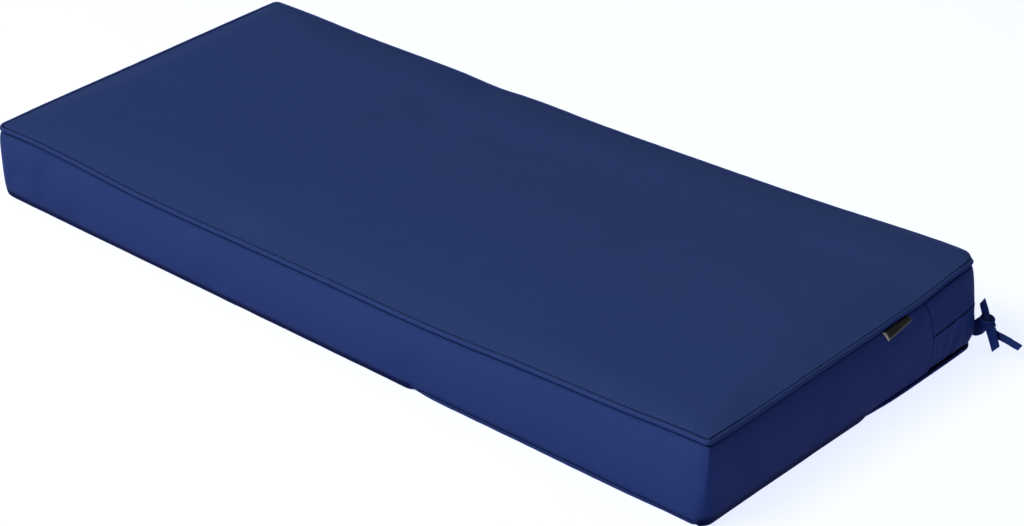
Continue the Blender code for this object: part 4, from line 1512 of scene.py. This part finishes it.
class CUSHION_OT_stage(bpy.types.Operator):
    """Set the floor, the softboxes, the room light and the camera"""

    bl_idname = "cushion.stage"
    bl_label = "Set Stage"

    def softbox(self, name, place, size, power, colour):
        light = bpy.data.lights.new(name, "AREA")
        light.color = colour
        light.shape = "RECTANGLE"
        light.size, light.size_y = size
        light.energy = power
        lamp = link(name, light)
        lamp.location = place
        lamp.rotation_euler = (-Vector(place)).to_track_quat("-Z", "Y").to_euler()

    def execute(self, context):
        stage = context.scene.cushion_stage
        bm = bmesh.new()
        bmesh.ops.create_grid(bm, x_segments=1, y_segments=1, size=FLOOR_SIZE)
        floor = link_mesh("pale_floor", bm)
        finish = Finish("pale floor")
        looks = {
            "Base Color": (FLOOR_GREY, FLOOR_GREY, FLOOR_GREY, 1.0),
            "Roughness": 0.9,
            "Specular IOR Level": 0.0,
            "Emission Color": (*stage.glow, 1.0),
            "Emission Strength": FLOOR_GAIN,
        }
        for key, value in looks.items():
            finish.shader.inputs[key].default_value = value
        floor.data.materials.append(finish.material)
        self.softbox("key softbox", *KEY_BOX, stage.key_power, stage.light)
        self.softbox("top softbox", *TOP_BOX, stage.top_power, stage.light)
        world = bpy.data.worlds.new("room")
        context.scene.world = world
        world.use_nodes = True
        background = world.node_tree.nodes["Background"].inputs
        background["Color"].default_value = (1.0, 1.0, 1.0, 1.0)
        background["Strength"].default_value = stage.ambient
        camera = bpy.data.cameras.new("camera")
        camera.lens = stage.lens
        camera.sensor_width = SENSOR_WIDTH
        seat = link("camera", camera)
        back = Vector((
            math.sin(stage.azimuth) * math.cos(stage.elevation),
            -math.cos(stage.azimuth) * math.cos(stage.elevation),
            math.sin(stage.elevation),
        ))
        seat.location = Vector(stage.aim) + back * stage.distance
        seat.rotation_euler = back.to_track_quat("Z", "Y").to_euler()
        context.scene.camera = seat
        context.scene.view_settings.view_transform = "Standard"
        return {"FINISHED"}


class CUSHION_OT_cover(bpy.types.Operator):
    """Sew the cover, let its padding settle and crease it"""

    bl_idname = "cushion.cover"
    bl_label = "Sew Cover"

    def execute(self, context):
        sizes = context.scene.cushion_sizes
        cover = Cover(current_seams(context))
        piece = cover.make()
        settle_padding(piece, cover.sewn, sizes.pressure, sizes.swell_limit)
        cover.crease_skin(piece)
        subdivide_once(piece)
        canvas = canvas_finish("navy canvas", context.scene.cushion_colours.canvas)
        dress(piece, canvas, ["cushion"])
        return {"FINISHED"}


class CUSHION_OT_piping(bpy.types.Operator):
    """Cover two cords and lay them in the seams"""

    bl_idname = "cushion.piping"
    bl_label = "Lay Piping"

    def execute(self, context):
        seams = current_seams(context)
        welted = canvas_finish("navy canvas on the bias", context.scene.cushion_colours.canvas, bias=BIAS)

        def top_sunk(side, place):
            return TOP_LIP, seams.panel_lip(seams.top(side, place)[1])

        def bottom_sunk(side, place):
            return BOTTOM_PANEL_LIP, seams.bottom_lip(side, place)

        top = welt(seams, "top_welt", seams.top, top_sunk, seams.distance("front", JOIN_PLACE), 1.0)
        bottom = welt(seams, "bottom_welt", seams.bottom, bottom_sunk, seams.distance("rear", JOIN_PLACE), 5.0)
        dress(top, welted, ["piping_top"])
        dress(bottom, welted, ["piping_bottom"])
        return {"FINISHED"}


class CUSHION_OT_slit(bpy.types.Operator):
    """Sew the flap and the lower strip of the slit, and stitch the flap"""

    bl_idname = "cushion.slit"
    bl_label = "Sew Slit"

    def execute(self, context):
        seams = current_seams(context)
        colours = context.scene.cushion_colours
        slit = seams.sizes.slit_height
        end_middle = seams.distance("end", 0.0)
        canvas = canvas_finish("navy canvas strips", colours.canvas)
        flap_heights = [slit + part for part in FLAP_HEIGHTS]
        flap = slit_strip(seams, "slit_flap", flap_heights, lambda h, along: flap_proud(h, slit, along))
        lower = slit_strip(seams, "slit_lower", LOWER_HEIGHTS, lambda h, along: lower_proud(h, slit, along, end_middle))
        dress(flap, canvas, ["zip_flap"])
        dress(lower, canvas, ["zip_boxing"])
        length = 2 * seams.half_x + 2 * (seams.half_y - slit_seam_y(0.5))
        thread = thread_finish("navy thread", colours.thread)
        path = []
        stitch_height = slit + STITCH_HEIGHT
        for side, place in slit_columns(seams, STRIP_STEP)[2:-2]:
            leaning = slanted(seams, side, place, stitch_height)
            level = slit_row_height(seams, side, leaning, stitch_height)
            stand = flap_proud(stitch_height, slit, seams.distance(side, place)) * edge_taper(seams, side, place)
            path.append(seams.boxing(side, leaning, level, stand - STITCH_SINK))
        row = run_stitches("flap_stitches", stitch_tree(), path, thread)
        dress(row, thread)
        return {"FINISHED"}


class CUSHION_OT_tab(bpy.types.Operator):
    """Fold the bare tab and catch it under the top piping"""

    bl_idname = "cushion.tab"
    bl_label = "Fold Tab"

    def execute(self, context):
        seams = current_seams(context)
        tab = folded_tab(seams, "bare_tab")
        dress(tab, tape_finish("black tape", context.scene.cushion_colours.tape), ["label_tab"])
        return {"FINISHED"}


class CUSHION_OT_ties(bpy.types.Operator):
    """Make the straps of the tie and knot them"""

    bl_idname = "cushion.ties"
    bl_label = "Knot Ties"

    def execute(self, context):
        sizes = context.scene.cushion_sizes
        colour = context.scene.cushion_colours.strap
        folded = canvas_finish("navy strap canvas", colour)
        knotted = canvas_finish("navy knotted canvas", colour, by_object=True)
        knot = make_knot("tie_wraps")
        dress(knot, knotted, ["tie_knot"])
        straps = (
            ("tie_root", TIE_BAND, "tie_band", 0.0006, 1.0),
            ("tie_tail_up", TIE_END_UP, "tie_end_up", 0.0005, 2.0),
            ("tie_tail_down", TIE_END_DOWN, "tie_end_down", -0.0004, 3.0),
            ("tie_tail_side", TIE_END_SIDE, "tie_end_side", 0.0004, 4.0),
        )
        for name, stops, node, cup, seed in straps:
            piece, length = strap(name, stops, sizes.strap_thickness, cup, seed)
            dress(piece, folded, [node])
            width = sum(stop[2] for stop in stops) / len(stops)
            with_pieces = [knot] if name == "tie_root" else []
        return {"FINISHED"}


STEPS = (
    CUSHION_OT_stage,
    CUSHION_OT_cover,
    CUSHION_OT_piping,
    CUSHION_OT_slit,
    CUSHION_OT_tab,
    CUSHION_OT_ties,
)


class CUSHION_PT_panel(bpy.types.Panel):
    """The cushion's sizes, colours and steps"""

    bl_idname = "CUSHION_PT_panel"
    bl_label = "Bench Cushion"
    bl_space_type = "VIEW_3D"
    bl_region_type = "UI"
    bl_category = "Cushion"

    def draw(self, context):
        scene = context.scene
        for group in (scene.cushion_sizes, scene.cushion_colours, scene.cushion_stage):
            box = self.layout.box()
            for name in group.bl_rna.properties.keys():
                if name not in ("rna_type", "name"):
                    box.prop(group, name)
        for step in STEPS:
            self.layout.operator(step.bl_idname)


CLASSES = (CushionSizes, CushionColours, CushionStage, *STEPS, CUSHION_PT_panel)


def register():
    for made in CLASSES:
        bpy.utils.register_class(made)
    bpy.types.Scene.cushion_sizes = PointerProperty(type=CushionSizes)
    bpy.types.Scene.cushion_colours = PointerProperty(type=CushionColours)
    bpy.types.Scene.cushion_stage = PointerProperty(type=CushionStage)


def unregister():
    del bpy.types.Scene.cushion_stage
    del bpy.types.Scene.cushion_colours
    del bpy.types.Scene.cushion_sizes
    for made in reversed(CLASSES):
        bpy.utils.unregister_class(made)


def main():
    register()
    bpy.ops.cushion.stage()
    bpy.ops.cushion.cover()
    bpy.ops.cushion.piping()
    bpy.ops.cushion.slit()
    bpy.ops.cushion.tab()
    bpy.ops.cushion.ties()


if __name__ == "__main__":
    main()
